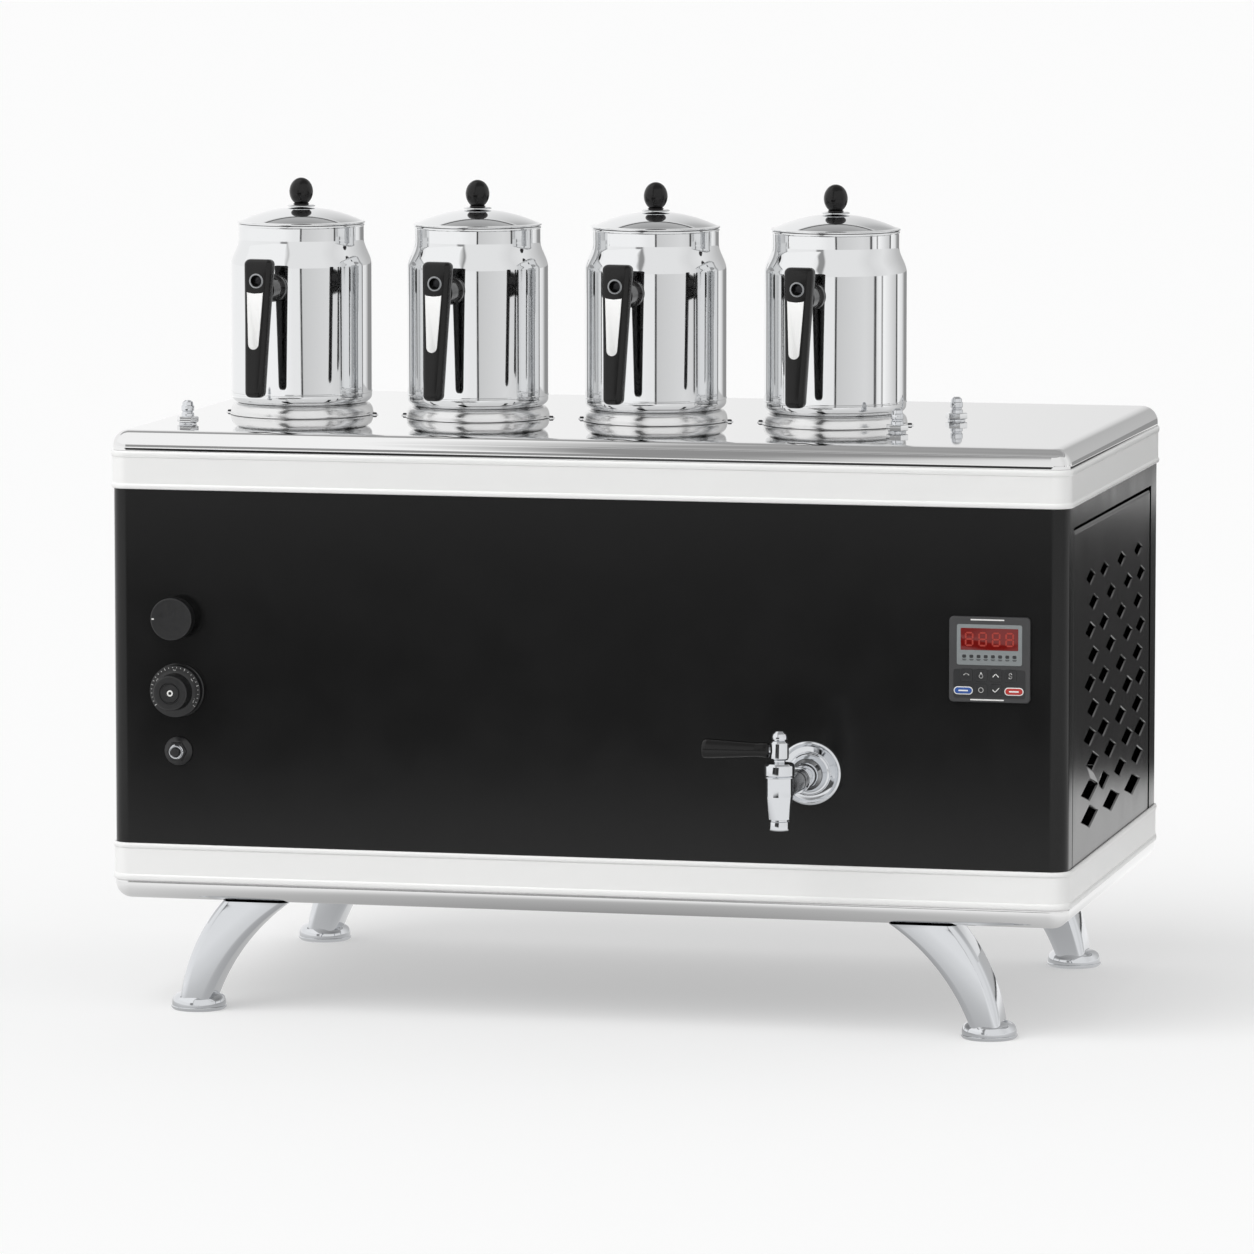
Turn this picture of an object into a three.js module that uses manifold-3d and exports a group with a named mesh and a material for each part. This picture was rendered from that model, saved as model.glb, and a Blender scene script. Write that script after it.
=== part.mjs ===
// A counter-top tea boiler: a lacquered sheet-metal case on four curved legs, with a water tank under
// a polished cover, four lift-off teapots on seat rings, a lever tap, gas controls and a digital controller.
// Millimetres, +Z up, the front faces -Y. The origin is on the floor under the middle of the whole outline.
import * as THREE from "three";
import { mergeVertices } from "three/addons/utils/BufferGeometryUtils.js";
import Module from "manifold-3d";

const wasm = await Module();
wasm.setup();

// Case: a wrapped sheet between two trim bands, closed by a cover above and a pan below
const CASE_WIDTH = 900;
const CASE_DEPTH = 500;
const CASE_CORNER = 16;
const SHEET = 1.2;
const FIT = 0.3; // clearance between pieces that touch
const LEG_HEIGHT = 105; // from the floor to the underside of the pan
const PAN_HEIGHT = 17.5;
const TRIM_HEIGHT = 35.5;
const BODY_HEIGHT = 330.5; // the black sheet that shows between the trims
const COVER_HEIGHT = 18.5;
const EDGE_RADIUS = 15; // rolled edge of the cover and of the pan
const RIM_PROUD = 0.8; // how far cover and pan stand out over the sheet
const LIP_HEIGHT = 24; // the lips of cover and pan that reach inside the sheet
const SHEET_TUCK = 3; // the sheet ends this far inside each trim's outer edge

// Trim bands: a flat face between a wide bead on the bright side and a narrow one on the black side
const TRIM_BEAD = 1.1;
const WIDE_BEAD = 6;
const NARROW_BEAD = 5;

// Vent panels in the two sides
const VENT_FRONT = 31; // from the case's front to the panel's opening
const VENT_BACK = 45;
const VENT_TOP = 19.5; // the header strip over the opening
const VENT_FRONT_GAP = 1;
const VENT_TOP_GAP = 3;
const VENT_BACK_GAP = 6;
const VENT_ROLL = 2.5;
const VENT_CORNER = 4;
const VENT_FLANGE = 10;
const DIAMOND_ROWS = 10;
const DIAMOND_COLUMNS = 4;
const DIAMOND_PITCH = 0.2254; // along the panel, in shares of its width, like the reach and the offset
const DIAMOND_REACH = 0.332; // the outermost diamonds' distance from the pattern's middle
const DIAMOND_OFFSET = 0.05; // the pattern's middle, behind the panel's
const DIAMOND_SHIFT = 0.2; // every row is set off by this share of the pitch, to and fro by turns
const DIAMOND_FIRST = 71; // the lowest row's height over the pan
const DIAMOND_TOP_MARGIN = 51.1; // from the top row up to the panel's edge
const DIAMOND_WIDTH = 0.7; // in shares of the pitch, in the lowest row
const DIAMOND_HEIGHT = 17.4;
const DIAMOND_TOP_WIDTH = 0.46;
const DIAMOND_TOP_HEIGHT = 13.5;
const LOW_DIAMOND_WIDTH = 0.89; // the lowest row has one diamond less, and larger ones
const LOW_DIAMOND_HEIGHT = 19.3;
const LOW_DIAMOND_PITCH = 1.25; // in shares of the other rows' pitch

// Curved legs and round feet
const LEG_OUTER_FOOT_ANGLE = 6; // degrees from upright, where each edge of the leg starts and ends
const LEG_OUTER_TOP_ANGLE = 41;
const LEG_INNER_FOOT_ANGLE = 20;
const LEG_INNER_TOP_ANGLE = 57;
const LEG_THICK_FOOT = 28;
const LEG_DEPTH = 44;
const LEG_ROUND = 8;
const FOOT_RADIUS = 26;
const FOOT_HEIGHT = 17;
const FOOT_BAND = 6;
const FOOT_CHAMFER = 2;
const FOOT_INSET_X = 75; // from the case's side, and its front or back, to the foot's middle
const FOOT_INSET_Y = 28;
const LEG_SINK = 9; // how far the leg's end reaches down into the foot's dome

// Teapots, their seat rings and the holes under them
const POT_COUNT = 4;
const POT_PITCH = 172;
const POT_ROW_INSET = 382; // from the case's left side to the middle of the row
const POT_RADIUS = 66.5;
const POT_BASE_ROUND = 7;
const POT_NECK_RADIUS = 59.3;
const POT_SHOULDER = 130; // heights over the pot's base
const POT_NECK = 155;
const POT_RIM = 169;
const POT_WALL = 1.2;
const POT_TURN = -7; // degrees: the handles point a little to the left of straight ahead
const SEAT_HEIGHT = 11;
const SEAT_TOP_RADIUS = 62.5;
const SEAT_BASE_RADIUS = 68.5;
const SEAT_BORE = 50;
const SEAT_SPIGOT = 6; // the ring's tube that reaches down into the cover

// Spout at the back of each pot
const SPOUT_LOW = 72;
const SPOUT_TIP = 157;
const SPOUT_REACH = 42; // from the wall to the tip
const SPOUT_ROOT_RADIUS = 13;
const SPOUT_TIP_RADIUS = 7.5;
const SPOUT_WALL = 1.5;
const SPOUT_BEND = 1.6; // the power by which the spout rises along its reach

// Lid and its knob
const LID_RADIUS = 60.5;
const LID_DOME = 15;
const LID_WALL = 1.2;
const LID_ROLL = 1.6;
const LID_STEP_RADIUS = 47;
const LID_STEP = 2;
const LID_SKIRT = 9;
const LID_PLAY = 1.2; // between the lid's skirt and the pot's neck
const KNOB_BALL_RADIUS = 11;
const KNOB_BALL_HEIGHT = 22;
const KNOB_NECK_RADIUS = 6;
const KNOB_NECK_HEIGHT = 3;
const KNOB_FLANGE_RADIUS = 13.5;
const KNOB_FLANGE_HEIGHT = 2.5;

// Pot handle: a boss on the wall, and a grip that hangs from it
const HANDLE_BOSS_RADIUS = 13;
const HANDLE_BOSS_HEIGHT = 112; // over the pot's base
const HANDLE_GAP = 28; // between the wall and the grip
const GRIP_THICK = 15;
const GRIP_WIDTH_TOP = 32;
const GRIP_WIDTH_BOTTOM = 21;
const GRIP_TOP = 141; // heights over the pot's base
const GRIP_BOTTOM = 12;
const GRIP_ROUND = 4;
const GRIP_LEAN = 12; // how far the grip's foot swings out from the wall
const SCREW_WELL_HEIGHT = 121;
const SCREW_WELL_RADIUS = 5.5;
const SCREW_WELL_DEPTH = 6;

// Water tank under the cover
const TANK_END_ROOM = 2; // between an outer seat's hole and the tank's end
const TANK_FRONT_ROOM = 50; // from the case's front to the tank
const TANK_BACK_ROOM = 110;
const BURNER_ROOM = 116; // from the pan up to the tank
const TANK_CORNER = 20;
const TANK_WALL = 1.5;
const TANK_FLANGE = 14;

// Burner under the tank
const BURNER_TUBE_RADIUS = 12;
const BURNER_LENGTH = 520;
const BURNER_SPREAD = 130;
const BURNER_DROP = 52; // from the tank's bottom to the tubes' middle
const BURNER_FOOT = 16;
const BURNER_FEET_PITCH = 360;
const PIPE_RADIUS = 5;
const PIPE_SETBACK = 24; // how far the gas pipes run behind the front sheet
const PIPE_SIDESTEP = 35; // from the control column to the burner's feed

// Gas knob, thermostat knob and igniter, in one column at the left of the front
const CONTROL_INSET = 65; // from the case's left side
const GAS_KNOB_RISE = 248; // heights over the pan's top edge
const THERMOSTAT_RISE = 179.7;
const IGNITER_RISE = 123;
const GAS_KNOB_RADIUS = 19.8;
const GAS_KNOB_LENGTH = 24;
const GAS_KNOB_ROOT_RADIUS = 16.5;
const KNOB_ROUND = 2;
const DIAL_RADIUS = 24.3;
const DIAL_THICK = 9;
const DIAL_CAP_RADIUS = 16.4;
const DIAL_CAP_LENGTH = 29;
const BEZEL_RADIUS = 25.2;
const BEZEL_THICK = 2.4;
const SPINDLE_RADIUS = 4;
const SPINDLE_BITE = 12; // how far a spindle reaches into its knob
const VALVE_RADIUS = 15;
const VALVE_LENGTH = 34;
const THERMOSTAT_SIZE = 40;
const THERMOSTAT_LENGTH = 28;
const CAPILLARY_RADIUS = 1.6;
const BULB_RADIUS = 4;
const BULB_LENGTH = 70;
const IGNITER_FLANGE_RADIUS = 13.5;
const IGNITER_FLANGE_THICK = 5;
const IGNITER_SHANK_LENGTH = 8; // behind the sheet's face
const IGNITER_RING_RADIUS = 6.2;
const IGNITER_RING_LENGTH = 12;
const IGNITER_BUTTON_RADIUS = 4.2;
const IGNITER_BUTTON_LENGTH = 16;
const IGNITER_BUTTON_PROUD = 3;
const IGNITER_BODY_RADIUS = 9;
const IGNITER_BODY_LENGTH = 34;

// Digital controller
const CONTROLLER_INSET = 70.5; // from the case's right side
const CONTROLLER_RISE = 228.5;
const CONTROLLER_WIDTH = 74.5;
const CONTROLLER_HEIGHT = 78;
const CONTROLLER_CORNER = 4;
const CONTROLLER_PROUD = 4.5;
const CONTROLLER_BOX = 66; // the part behind the sheet
const CONTROLLER_BOX_DEPTH = 38;
const WINDOW_WIDTH = 60;
const WINDOW_HEIGHT = 37;
const WINDOW_RISE = 13.5; // from the controller's middle to the window's
const KEYPAD_WIDTH = 66;
const KEYPAD_HEIGHT = 26;
const KEYPAD_DROP = 22;
const INLAY_DEPTH = 1.6; // how deep window and keypad lie in the case
const INLAY_PROUD = 0.4;

// Tap
const TAP_INSET = 237; // from the case's right side
const TAP_RISE = 120; // the pipe's height over the pan's top edge
const TAP_REACH = 132; // from the case's front to the valve's axis
const TAP_FLANGE_RADIUS = 29.5;
const TAP_FLANGE_THICK = 4;
const TAP_BOSS_RADIUS = 16.5;
const TAP_BOSS_LENGTH = 15;
const TAP_SLEEVE_RADIUS = 11;
const TAP_SLEEVE_END = 54; // from the case's front
const TAP_INSULATOR_RADIUS = 9.6;
const TAP_PIPE_RADIUS = 8;
const TAP_COLLAR_RADIUS = 13.8;
const TAP_BODY_RADIUS = 12.2;
const TAP_TAPER_RADIUS = 10;
const TAP_SPOUT_RADIUS = 9;
const TAP_BORE = 6;
const TAP_TOP = 54.5; // heights over the pipe's middle
const TAP_CAP_HEIGHT = 9;
const TAP_HUB_HEIGHT = 17;
const TAP_NECK_HEIGHT = 3;
const TAP_COLLAR_HEIGHT = 10.4;
const TAP_SPINDLE_DEPTH = 8; // how far the spindle under the lever reaches into the collar
const TAP_CAP_RADIUS = 6.6;
const TAP_HUB_RADIUS = 8.4;
const TAP_NECK_RADIUS = 5.4;
const TAP_STRAIGHT_END = -4.4;
const TAP_TAPER_END = -25;
const TAP_SPOUT_END = -35;
const GRIP_RADIUS_ROOT = 6.6;
const GRIP_RADIUS_END = 9.2;
const TAP_GRIP_LENGTH = 62;
const TAP_STEM_RADIUS = 3.6;
const TAP_STEM_BITE = 14; // how far the lever's stem reaches into the grip
const TAP_SHANK_NUT_RADIUS = 17;
const TAP_SHANK_NUT_LENGTH = 8;

// Vent studs on the cover
const STUD_RADIUS = 6;
const STUD_HEIGHT = 22;
const STUD_NUT_RADIUS = 10.5;
const STUD_NUT_HEIGHT = 7;
const STUD_SHANK_RADIUS = 4;
const STUD_SHANK = 14;
const STUD_GROOVE = 1;
const STUD_ROOM_SHARE = 0.25; // a stud stands within this share of the room beside the tank
const LEFT_STUD_OUTSET = 7; // from the tank's flange to the stud's middle
const MIDDLE_STUD_OUTSET = 37;
const RIGHT_STUD_OUTSET = 8;
const LEFT_STUD_SETBACK = -136; // behind the middle of the pots' row
const MIDDLE_STUD_SETBACK = 64;
const RIGHT_STUD_SETBACK = -75;

// Back fittings
const INLET_RISE = 60;
const INLET_INSET = 22; // from the case's left side
const INLET_REACH = 22;
const INLET_NUT_RADIUS = 11;
const INLET_NUT_LENGTH = 9;
const GLAND_INSET = 65; // from the case's right side
const GLAND_RADIUS = 11;
const GLAND_REACH = 20;
const GLAND_BORE = 5;

// Heating element through the tank's right wall
const ELEMENT_RADIUS = 4;
const ELEMENT_LENGTH = 420;
const ELEMENT_SPREAD = 36;
const ELEMENT_RISE = 34; // over the tank's bottom
const ELEMENT_FLANGE_RADIUS = 34;
const ELEMENT_FLANGE_THICK = 5;
const ELEMENT_HEAD_RADIUS = 26;
const ELEMENT_HEAD_LENGTH = 26;

// How finely round things are faceted
const CORNER_STEPS = 2;
const EDGE_STEPS = 3;
const BEAD_STEPS = 2;
const POT_STEPS = 16;
const SHOULDER_STEPS = 3;
const SPOUT_STEPS = 3;
const ROUND_STEPS = 16;
const SMALL_STEPS = 12;
const KNOB_STEPS = 10;
const STUD_STEPS = 10;
const HEXAGON = 6;
const TUBE_SIDES = 8;
const LEG_STEPS = 4;
const OVERRUN = 4; // how far a cutter reaches past what it cuts

// Levels over the floor, and the case's main planes
const panZ = LEG_HEIGHT;
const lowerTrimZ = panZ + PAN_HEIGHT;
const bodyZ = lowerTrimZ + TRIM_HEIGHT;
const upperTrimZ = bodyZ + BODY_HEIGHT;
const coverZ = upperTrimZ + TRIM_HEIGHT;
const plateZ = coverZ + COVER_HEIGHT;
const frontY = -CASE_DEPTH / 2;
const backY = CASE_DEPTH / 2;
const sideX = CASE_WIDTH / 2;
const trimFace = FIT + SHEET;
const tankTopZ = plateZ - SHEET - FIT;
const tankFloorZ = panZ + BURNER_ROOM;
const tankHeight = tankTopZ - tankFloorZ;
const tankWidth = (POT_COUNT - 1) * POT_PITCH + 2 * (SEAT_BORE + TANK_END_ROOM);
const tankDepth = CASE_DEPTH - TANK_FRONT_ROOM - TANK_BACK_ROOM;
const potRowX = POT_ROW_INSET - sideX;
const potRowY = (TANK_FRONT_ROOM - TANK_BACK_ROOM) / 2;
const footX = sideX - FOOT_INSET_X;
const footY = backY - FOOT_INSET_Y;
const controlX = CONTROL_INSET - sideX;
const controllerX = sideX - CONTROLLER_INSET;
const tapX = sideX - TAP_INSET;
const inletX = INLET_INSET - sideX;
const glandX = sideX - GLAND_INSET;
const potBaseZ = plateZ + SEAT_HEIGHT + 2 * FIT;
const tapZ = lowerTrimZ + TAP_RISE;
const tapY = frontY - TAP_REACH;
const gasKnobZ = lowerTrimZ + GAS_KNOB_RISE;
const tankFrontY = potRowY - tankDepth / 2;
const tankLeftX = potRowX - tankWidth / 2;
const tankRightX = potRowX + tankWidth / 2;
const pipeY = frontY + PIPE_SETBACK;
const feedX = controlX + PIPE_SIDESTEP;
const igniterShank = IGNITER_RING_RADIUS + SHEET;
const glandShank = GLAND_RADIUS - SHEET;
const elementHoleRadius = ELEMENT_SPREAD / 2 + 2 * ELEMENT_RADIUS;

// Where a stud stands beside the tank, at its right for side 1 and at its left for side -1
function studPlace(side, outset, setback) {
  const flangeEnd = tankWidth / 2 + TANK_FLANGE;
  const room = sideX - side * potRowX - flangeEnd;
  return {
    x: potRowX + side * (flangeEnd + Math.min(outset, room * STUD_ROOM_SHARE)),
    y: potRowY + setback,
  };
}

const studPlaces = {
  left: studPlace(-1, LEFT_STUD_OUTSET, LEFT_STUD_SETBACK),
  middle: studPlace(1, MIDDLE_STUD_OUTSET, MIDDLE_STUD_SETBACK),
  right: studPlace(1, RIGHT_STUD_OUTSET, RIGHT_STUD_SETBACK),
};

// Finishes
const finish = (color, roughness, metalness) =>
  new THREE.MeshStandardMaterial({ color, roughness, metalness });
const polishedSteel = finish(0xd6d7d8, 0.12, 1);
const satinAluminium = finish(0xdededc, 0.4, 1);
const tankSteel = finish(0xb4b6b8, 0.35, 1);
const castIron = finish(0x4a4a4c, 0.7, 0.6);
const brass = finish(0xb08d4a, 0.35, 1);
const blackLacquer = finish(0x1d1d1e, 0.35, 0);
const blackPlastic = finish(0x161616, 0.28, 0);
const redWindow = finish(0x7a0d0b, 0.15, 0);
const greyKeypad = finish(0x2b2c2e, 0.6, 0);

// Points on an arc from one angle to another, in degrees
function arc(u, v, radius, from, to, steps) {
  return Array.from({ length: steps + 1 }, (_, i) => {
    const angle = THREE.MathUtils.degToRad(from + ((to - from) * i) / steps);
    return [u + radius * Math.cos(angle), v + radius * Math.sin(angle)];
  });
}

// A rectangle with round corners, anticlockwise
function roundedRect(width, height, radius, steps = CORNER_STEPS) {
  const u = width / 2 - radius;
  const v = height / 2 - radius;
  return [
    ...arc(u, v, radius, 0, 90, steps),
    ...arc(-u, v, radius, 90, 180, steps),
    ...arc(-u, -v, radius, 180, 270, steps),
    ...arc(u, -v, radius, 270, 360, steps),
  ];
}

// Joins rings of points into one closed surface, round on itself or capped at both ends
function skin(rings, closed) {
  const count = rings[0].length;
  const position = rings.flat(2);
  const index = [];
  const bands = closed ? rings.length : rings.length - 1;
  for (let band = 0; band < bands; band += 1) {
    const here = band * count;
    const next = ((band + 1) % rings.length) * count;
    for (let i = 0; i < count; i += 1) {
      const j = (i + 1) % count;
      index.push(here + i, here + j, next + j);
      index.push(here + i, next + j, next + i);
    }
  }
  const cap = (ring, start, turned) => {
    const middle = position.length / 3;
    for (let axis = 0; axis < 3; axis += 1) {
      position.push(ring.reduce((sum, point) => sum + point[axis], 0) / count);
    }
    for (let i = 0; i < count; i += 1) {
      const j = (i + 1) % count;
      index.push(middle, start + (turned ? j : i), start + (turned ? i : j));
    }
  };
  if (!closed) {
    cap(rings[0], 0, true);
    cap(rings[rings.length - 1], (rings.length - 1) * count, false);
  }
  const geometry = new THREE.BufferGeometry();
  geometry.setAttribute("position", new THREE.Float32BufferAttribute(position, 3));
  geometry.setIndex(index);
  return geometry;
}

// Sweeps a profile of [outset, height] points round a rectangle with round corners
function sweepRound(profile, width, depth, corner, closed, steps = CORNER_STEPS) {
  const least = FIT;
  const rings = profile.map(([outset, z]) => {
    const radius = Math.max(corner + outset, least);
    const outline = roundedRect(width + 2 * outset, depth + 2 * outset, radius, steps);
    return outline.map(([x, y]) => [x, y, z]);
  });
  return skin(rings, closed);
}

// Turns a profile of [radius, height] points round the Z axis
function revolve(profile, segments = ROUND_STEPS) {
  const points = profile.map(([radius, z]) => new THREE.Vector2(radius, z));
  return new THREE.LatheGeometry(points, segments).rotateX(Math.PI / 2);
}

const revolveRing = (profile, segments) => revolve([...profile, profile[0]], segments);

// A flat outline with holes, drawn up along Z from zero
function slab(outline, height, holes = []) {
  const vectors = (points) => points.map(([x, y]) => new THREE.Vector2(x, y));
  const shape = new THREE.Shape(vectors(outline));
  holes.forEach((hole) => shape.holes.push(new THREE.Path(vectors(hole))));
  return new THREE.ExtrudeGeometry(shape, { depth: height, bevelEnabled: false });
}

// A round rod up along Z from zero
function rod(radius, length, segments = SMALL_STEPS) {
  const shape = new THREE.CylinderGeometry(radius, radius, length, segments);
  return shape.rotateX(Math.PI / 2).translate(0, 0, length / 2);
}

// A cutter for a round hole, whose flats stand clear of any rod of the given radius and clearance
function bore(radius, length, segments = SMALL_STEPS) {
  return rod((radius + FIT) / Math.cos(Math.PI / segments), length, segments);
}

// A box between two corners
function block(low, high) {
  const size = high.map((value, axis) => value - low[axis]);
  const middle = high.map((value, axis) => (value + low[axis]) / 2);
  return new THREE.BoxGeometry(...size).translate(...middle);
}

// A closed surface as a solid, turned to face outwards
function solid(geometry) {
  const bare = geometry.index ? geometry.toNonIndexed() : geometry.clone();
  bare.deleteAttribute("normal");
  bare.deleteAttribute("uv");
  const merged = mergeVertices(bare);
  const corners = [];
  for (let i = 0; i < merged.index.count; i += 3) {
    const [a, b, c] = merged.index.array.slice(i, i + 3);
    if (a !== b && b !== c && c !== a) corners.push(a, b, c);
  }
  const build = (triVerts) =>
    new wasm.Manifold(
      new wasm.Mesh({
        numProp: 3,
        vertProperties: merged.attributes.position.array,
        triVerts: new Uint32Array(triVerts),
      }),
    );
  const made = build(corners);
  return made.volume() < 0 ? build(corners.reverse()) : made;
}

const asSolid = (shape) => (shape.isBufferGeometry ? solid(shape) : shape);
const join = (...shapes) => shapes.map(asSolid).reduce((whole, next) => whole.add(next));
const cut = (from, ...tools) =>
  tools.map(asSolid).reduce((rest, tool) => rest.subtract(tool), asSolid(from));

function geometryOf(made) {
  const { numProp, vertProperties, triVerts } = made.getMesh();
  const shared = new THREE.BufferGeometry();
  const points = new THREE.InterleavedBuffer(vertProperties, numProp);
  shared.setAttribute("position", new THREE.InterleavedBufferAttribute(points, 3, 0));
  shared.setIndex(new THREE.BufferAttribute(triVerts, 1));
  const geometry = shared.toNonIndexed();
  geometry.computeVertexNormals();
  return geometry;
}

// Turns what was built up along +Z so that it grows out of the front, a side or the back
const toFront = (geometry) => geometry.rotateX(Math.PI / 2);
const toBack = (geometry) => geometry.rotateX(-Math.PI / 2);
const toRight = (geometry) => geometry.rotateX(Math.PI / 2).rotateZ(Math.PI / 2);
const toLeft = (geometry) => geometry.rotateX(Math.PI / 2).rotateZ(-Math.PI / 2);

const urn = new THREE.Group();

function add(name, shape, material, parent = urn) {
  const mesh = new THREE.Mesh(geometryOf(asSolid(shape)), material);
  mesh.name = name;
  parent.add(mesh);
  return mesh;
}

// The rim stands on its trim band at zero, the face lies at the height, and the lip reaches below
function trayProfile(height) {
  const turn = RIM_PROUD - EDGE_RADIUS;
  const bend = height - EDGE_RADIUS;
  const lip = SHEET + FIT;
  return [
    ...arc(turn, bend, EDGE_RADIUS - SHEET, 90, 0, EDGE_STEPS),
    [RIM_PROUD - SHEET, SHEET],
    [-lip - SHEET, SHEET],
    [-lip - SHEET, -LIP_HEIGHT],
    [-lip, -LIP_HEIGHT],
    [-lip, 0],
    [RIM_PROUD, 0],
    ...arc(turn, bend, EDGE_RADIUS, 0, 90, EDGE_STEPS),
  ];
}

const tray = (height) =>
  sweepRound(trayProfile(height), CASE_WIDTH, CASE_DEPTH, CASE_CORNER, false);

const potPlaces = Array.from({ length: POT_COUNT }, (_, i) => [
  potRowX + (i - (POT_COUNT - 1) / 2) * POT_PITCH,
  potRowY,
]);

function topCover() {
  const depth = SHEET + 2 * OVERRUN;
  const through = (radius, x, y, segments) =>
    bore(radius, depth, segments).translate(x, y, plateZ - SHEET - OVERRUN);
  const seats = potPlaces.map(([x, y]) => through(SEAT_BORE, x, y, ROUND_STEPS));
  const studs = Object.values(studPlaces).map(({ x, y }) =>
    through(STUD_SHANK_RADIUS, x, y, STUD_STEPS),
  );
  return cut(tray(COVER_HEIGHT).translate(0, 0, coverZ), ...seats, ...studs);
}

const bottomPan = () => tray(PAN_HEIGHT).rotateX(Math.PI).translate(0, 0, lowerTrimZ);

// A trim band from its wide bead at zero up to its narrow bead
function trimProfile() {
  const height = TRIM_HEIGHT - FIT;
  const bead = (from, to) =>
    arc(0, 0, 1, 0, 180, BEAD_STEPS).map(([along, proud]) => [
      trimFace + TRIM_BEAD * proud,
      (from + to) / 2 - (along * (to - from)) / 2,
    ]);
  return [[FIT, 0], ...bead(0, WIDE_BEAD), ...bead(height - NARROW_BEAD, height), [FIT, height]];
}

const trimBand = () => sweepRound(trimProfile(), CASE_WIDTH, CASE_DEPTH, CASE_CORNER, true);
const lowerTrim = () => trimBand().translate(0, 0, lowerTrimZ + FIT);
const upperTrim = () => trimBand().rotateX(Math.PI).translate(0, 0, coverZ - FIT);

// The wrapped sheet, between the trims' outer edges
const sheetLowZ = lowerTrimZ + SHEET_TUCK;
const sheetTopZ = coverZ - SHEET_TUCK;
const splitY = backY - VENT_BACK;
const ventFrontY = frontY + VENT_FRONT;
const ventTopZ = upperTrimZ - VENT_TOP;

function wrappedSheet() {
  const profile = [
    [-SHEET, sheetLowZ],
    [0, sheetLowZ],
    [0, sheetTopZ],
    [-SHEET, sheetTopZ],
  ];
  return sweepRound(profile, CASE_WIDTH, CASE_DEPTH, CASE_CORNER, true);
}

// A cutter through the front sheet, drawn from an outline or a radius
const frontHole = (shape, x, z) => toFront(shape).translate(x, frontY + OVERRUN, z);

function frontPanel() {
  const farX = sideX + OVERRUN;
  const behind = block([-farX, splitY - FIT, 0], [farX, backY + OVERRUN, plateZ]);
  const opening = block([-farX, ventFrontY, 0], [farX, backY, ventTopZ]);
  const deep = 2 * OVERRUN;
  const box = CONTROLLER_BOX + 2 * FIT;
  return cut(
    wrappedSheet(),
    behind,
    opening,
    frontHole(bore(SPINDLE_RADIUS, deep), controlX, lowerTrimZ + GAS_KNOB_RISE),
    frontHole(bore(SPINDLE_RADIUS, deep), controlX, lowerTrimZ + THERMOSTAT_RISE),
    frontHole(bore(igniterShank, deep), controlX, lowerTrimZ + IGNITER_RISE),
    frontHole(bore(TAP_PIPE_RADIUS, deep), tapX, tapZ),
    frontHole(
      slab(roundedRect(box, box, CONTROLLER_CORNER, 1), deep),
      controllerX,
      lowerTrimZ + CONTROLLER_RISE,
    ),
  );
}

function backPanel() {
  const farX = sideX + OVERRUN;
  const ahead = block([-farX, frontY - OVERRUN, 0], [farX, splitY, plateZ]);
  const deep = 2 * OVERRUN;
  const hole = (radius, x) =>
    toBack(bore(radius, deep)).translate(x, backY - OVERRUN, lowerTrimZ + INLET_RISE);
  return cut(
    wrappedSheet(),
    ahead,
    hole(PIPE_RADIUS, inletX),
    hole(glandShank, glandX),
  );
}

// The vent panel's edges
const ventFrontEdge = ventFrontY + VENT_FRONT_GAP;
const ventBackEdge = splitY - VENT_BACK_GAP;
const ventTopEdge = ventTopZ - VENT_TOP_GAP;
const ventWidth = ventBackEdge - ventFrontEdge;
const ventMiddleY = (ventFrontEdge + ventBackEdge) / 2;

// A diamond-vented side panel with rolled edges, for the right side
function ventPanel() {
  const lowEdge = sheetLowZ - VENT_FLANGE;
  const height = ventTopEdge - lowEdge;
  const profile = [
    ...arc(-VENT_ROLL, -VENT_ROLL, VENT_ROLL - SHEET, 90, 0, 2),
    [-SHEET, -VENT_FLANGE],
    [0, -VENT_FLANGE],
    ...arc(-VENT_ROLL, -VENT_ROLL, VENT_ROLL, 0, 90, 2),
  ];
  const plate = toRight(sweepRound(profile, ventWidth, height, VENT_CORNER, false, 1)).translate(
    sideX,
    ventMiddleY,
    (ventTopEdge + lowEdge) / 2,
  );
  const inX = sideX - VENT_FLANGE - OVERRUN;
  const outX = sideX + OVERRUN;
  const lipTopZ = lowerTrimZ + LIP_HEIGHT + FIT;
  const below = block([inX, frontY, 0], [outX, backY, sheetLowZ]);
  const lipRoom = block([inX, frontY, 0], [sideX - SHEET, backY, lipTopZ]);
  return cut(plate, below, lipRoom, diamondCutters());
}

// The places along the panel of one row's diamonds, counted from the pattern's middle
function diamondColumns(row) {
  const pitch = DIAMOND_PITCH * ventWidth;
  const reach = DIAMOND_REACH * ventWidth;
  if (row === 0) {
    const places = Array.from({ length: DIAMOND_COLUMNS - 1 }, (_, column) => column);
    return places.map((column) => column * LOW_DIAMOND_PITCH * pitch - reach);
  }
  const shift = row % 2 === 0 ? DIAMOND_SHIFT : -DIAMOND_SHIFT;
  const places = Array.from({ length: DIAMOND_COLUMNS }, (_, column) => column);
  return places.map((column) => {
    const u = (column - (DIAMOND_COLUMNS - 1) / 2 + shift) * pitch;
    return THREE.MathUtils.clamp(u, -reach, reach);
  });
}

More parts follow.
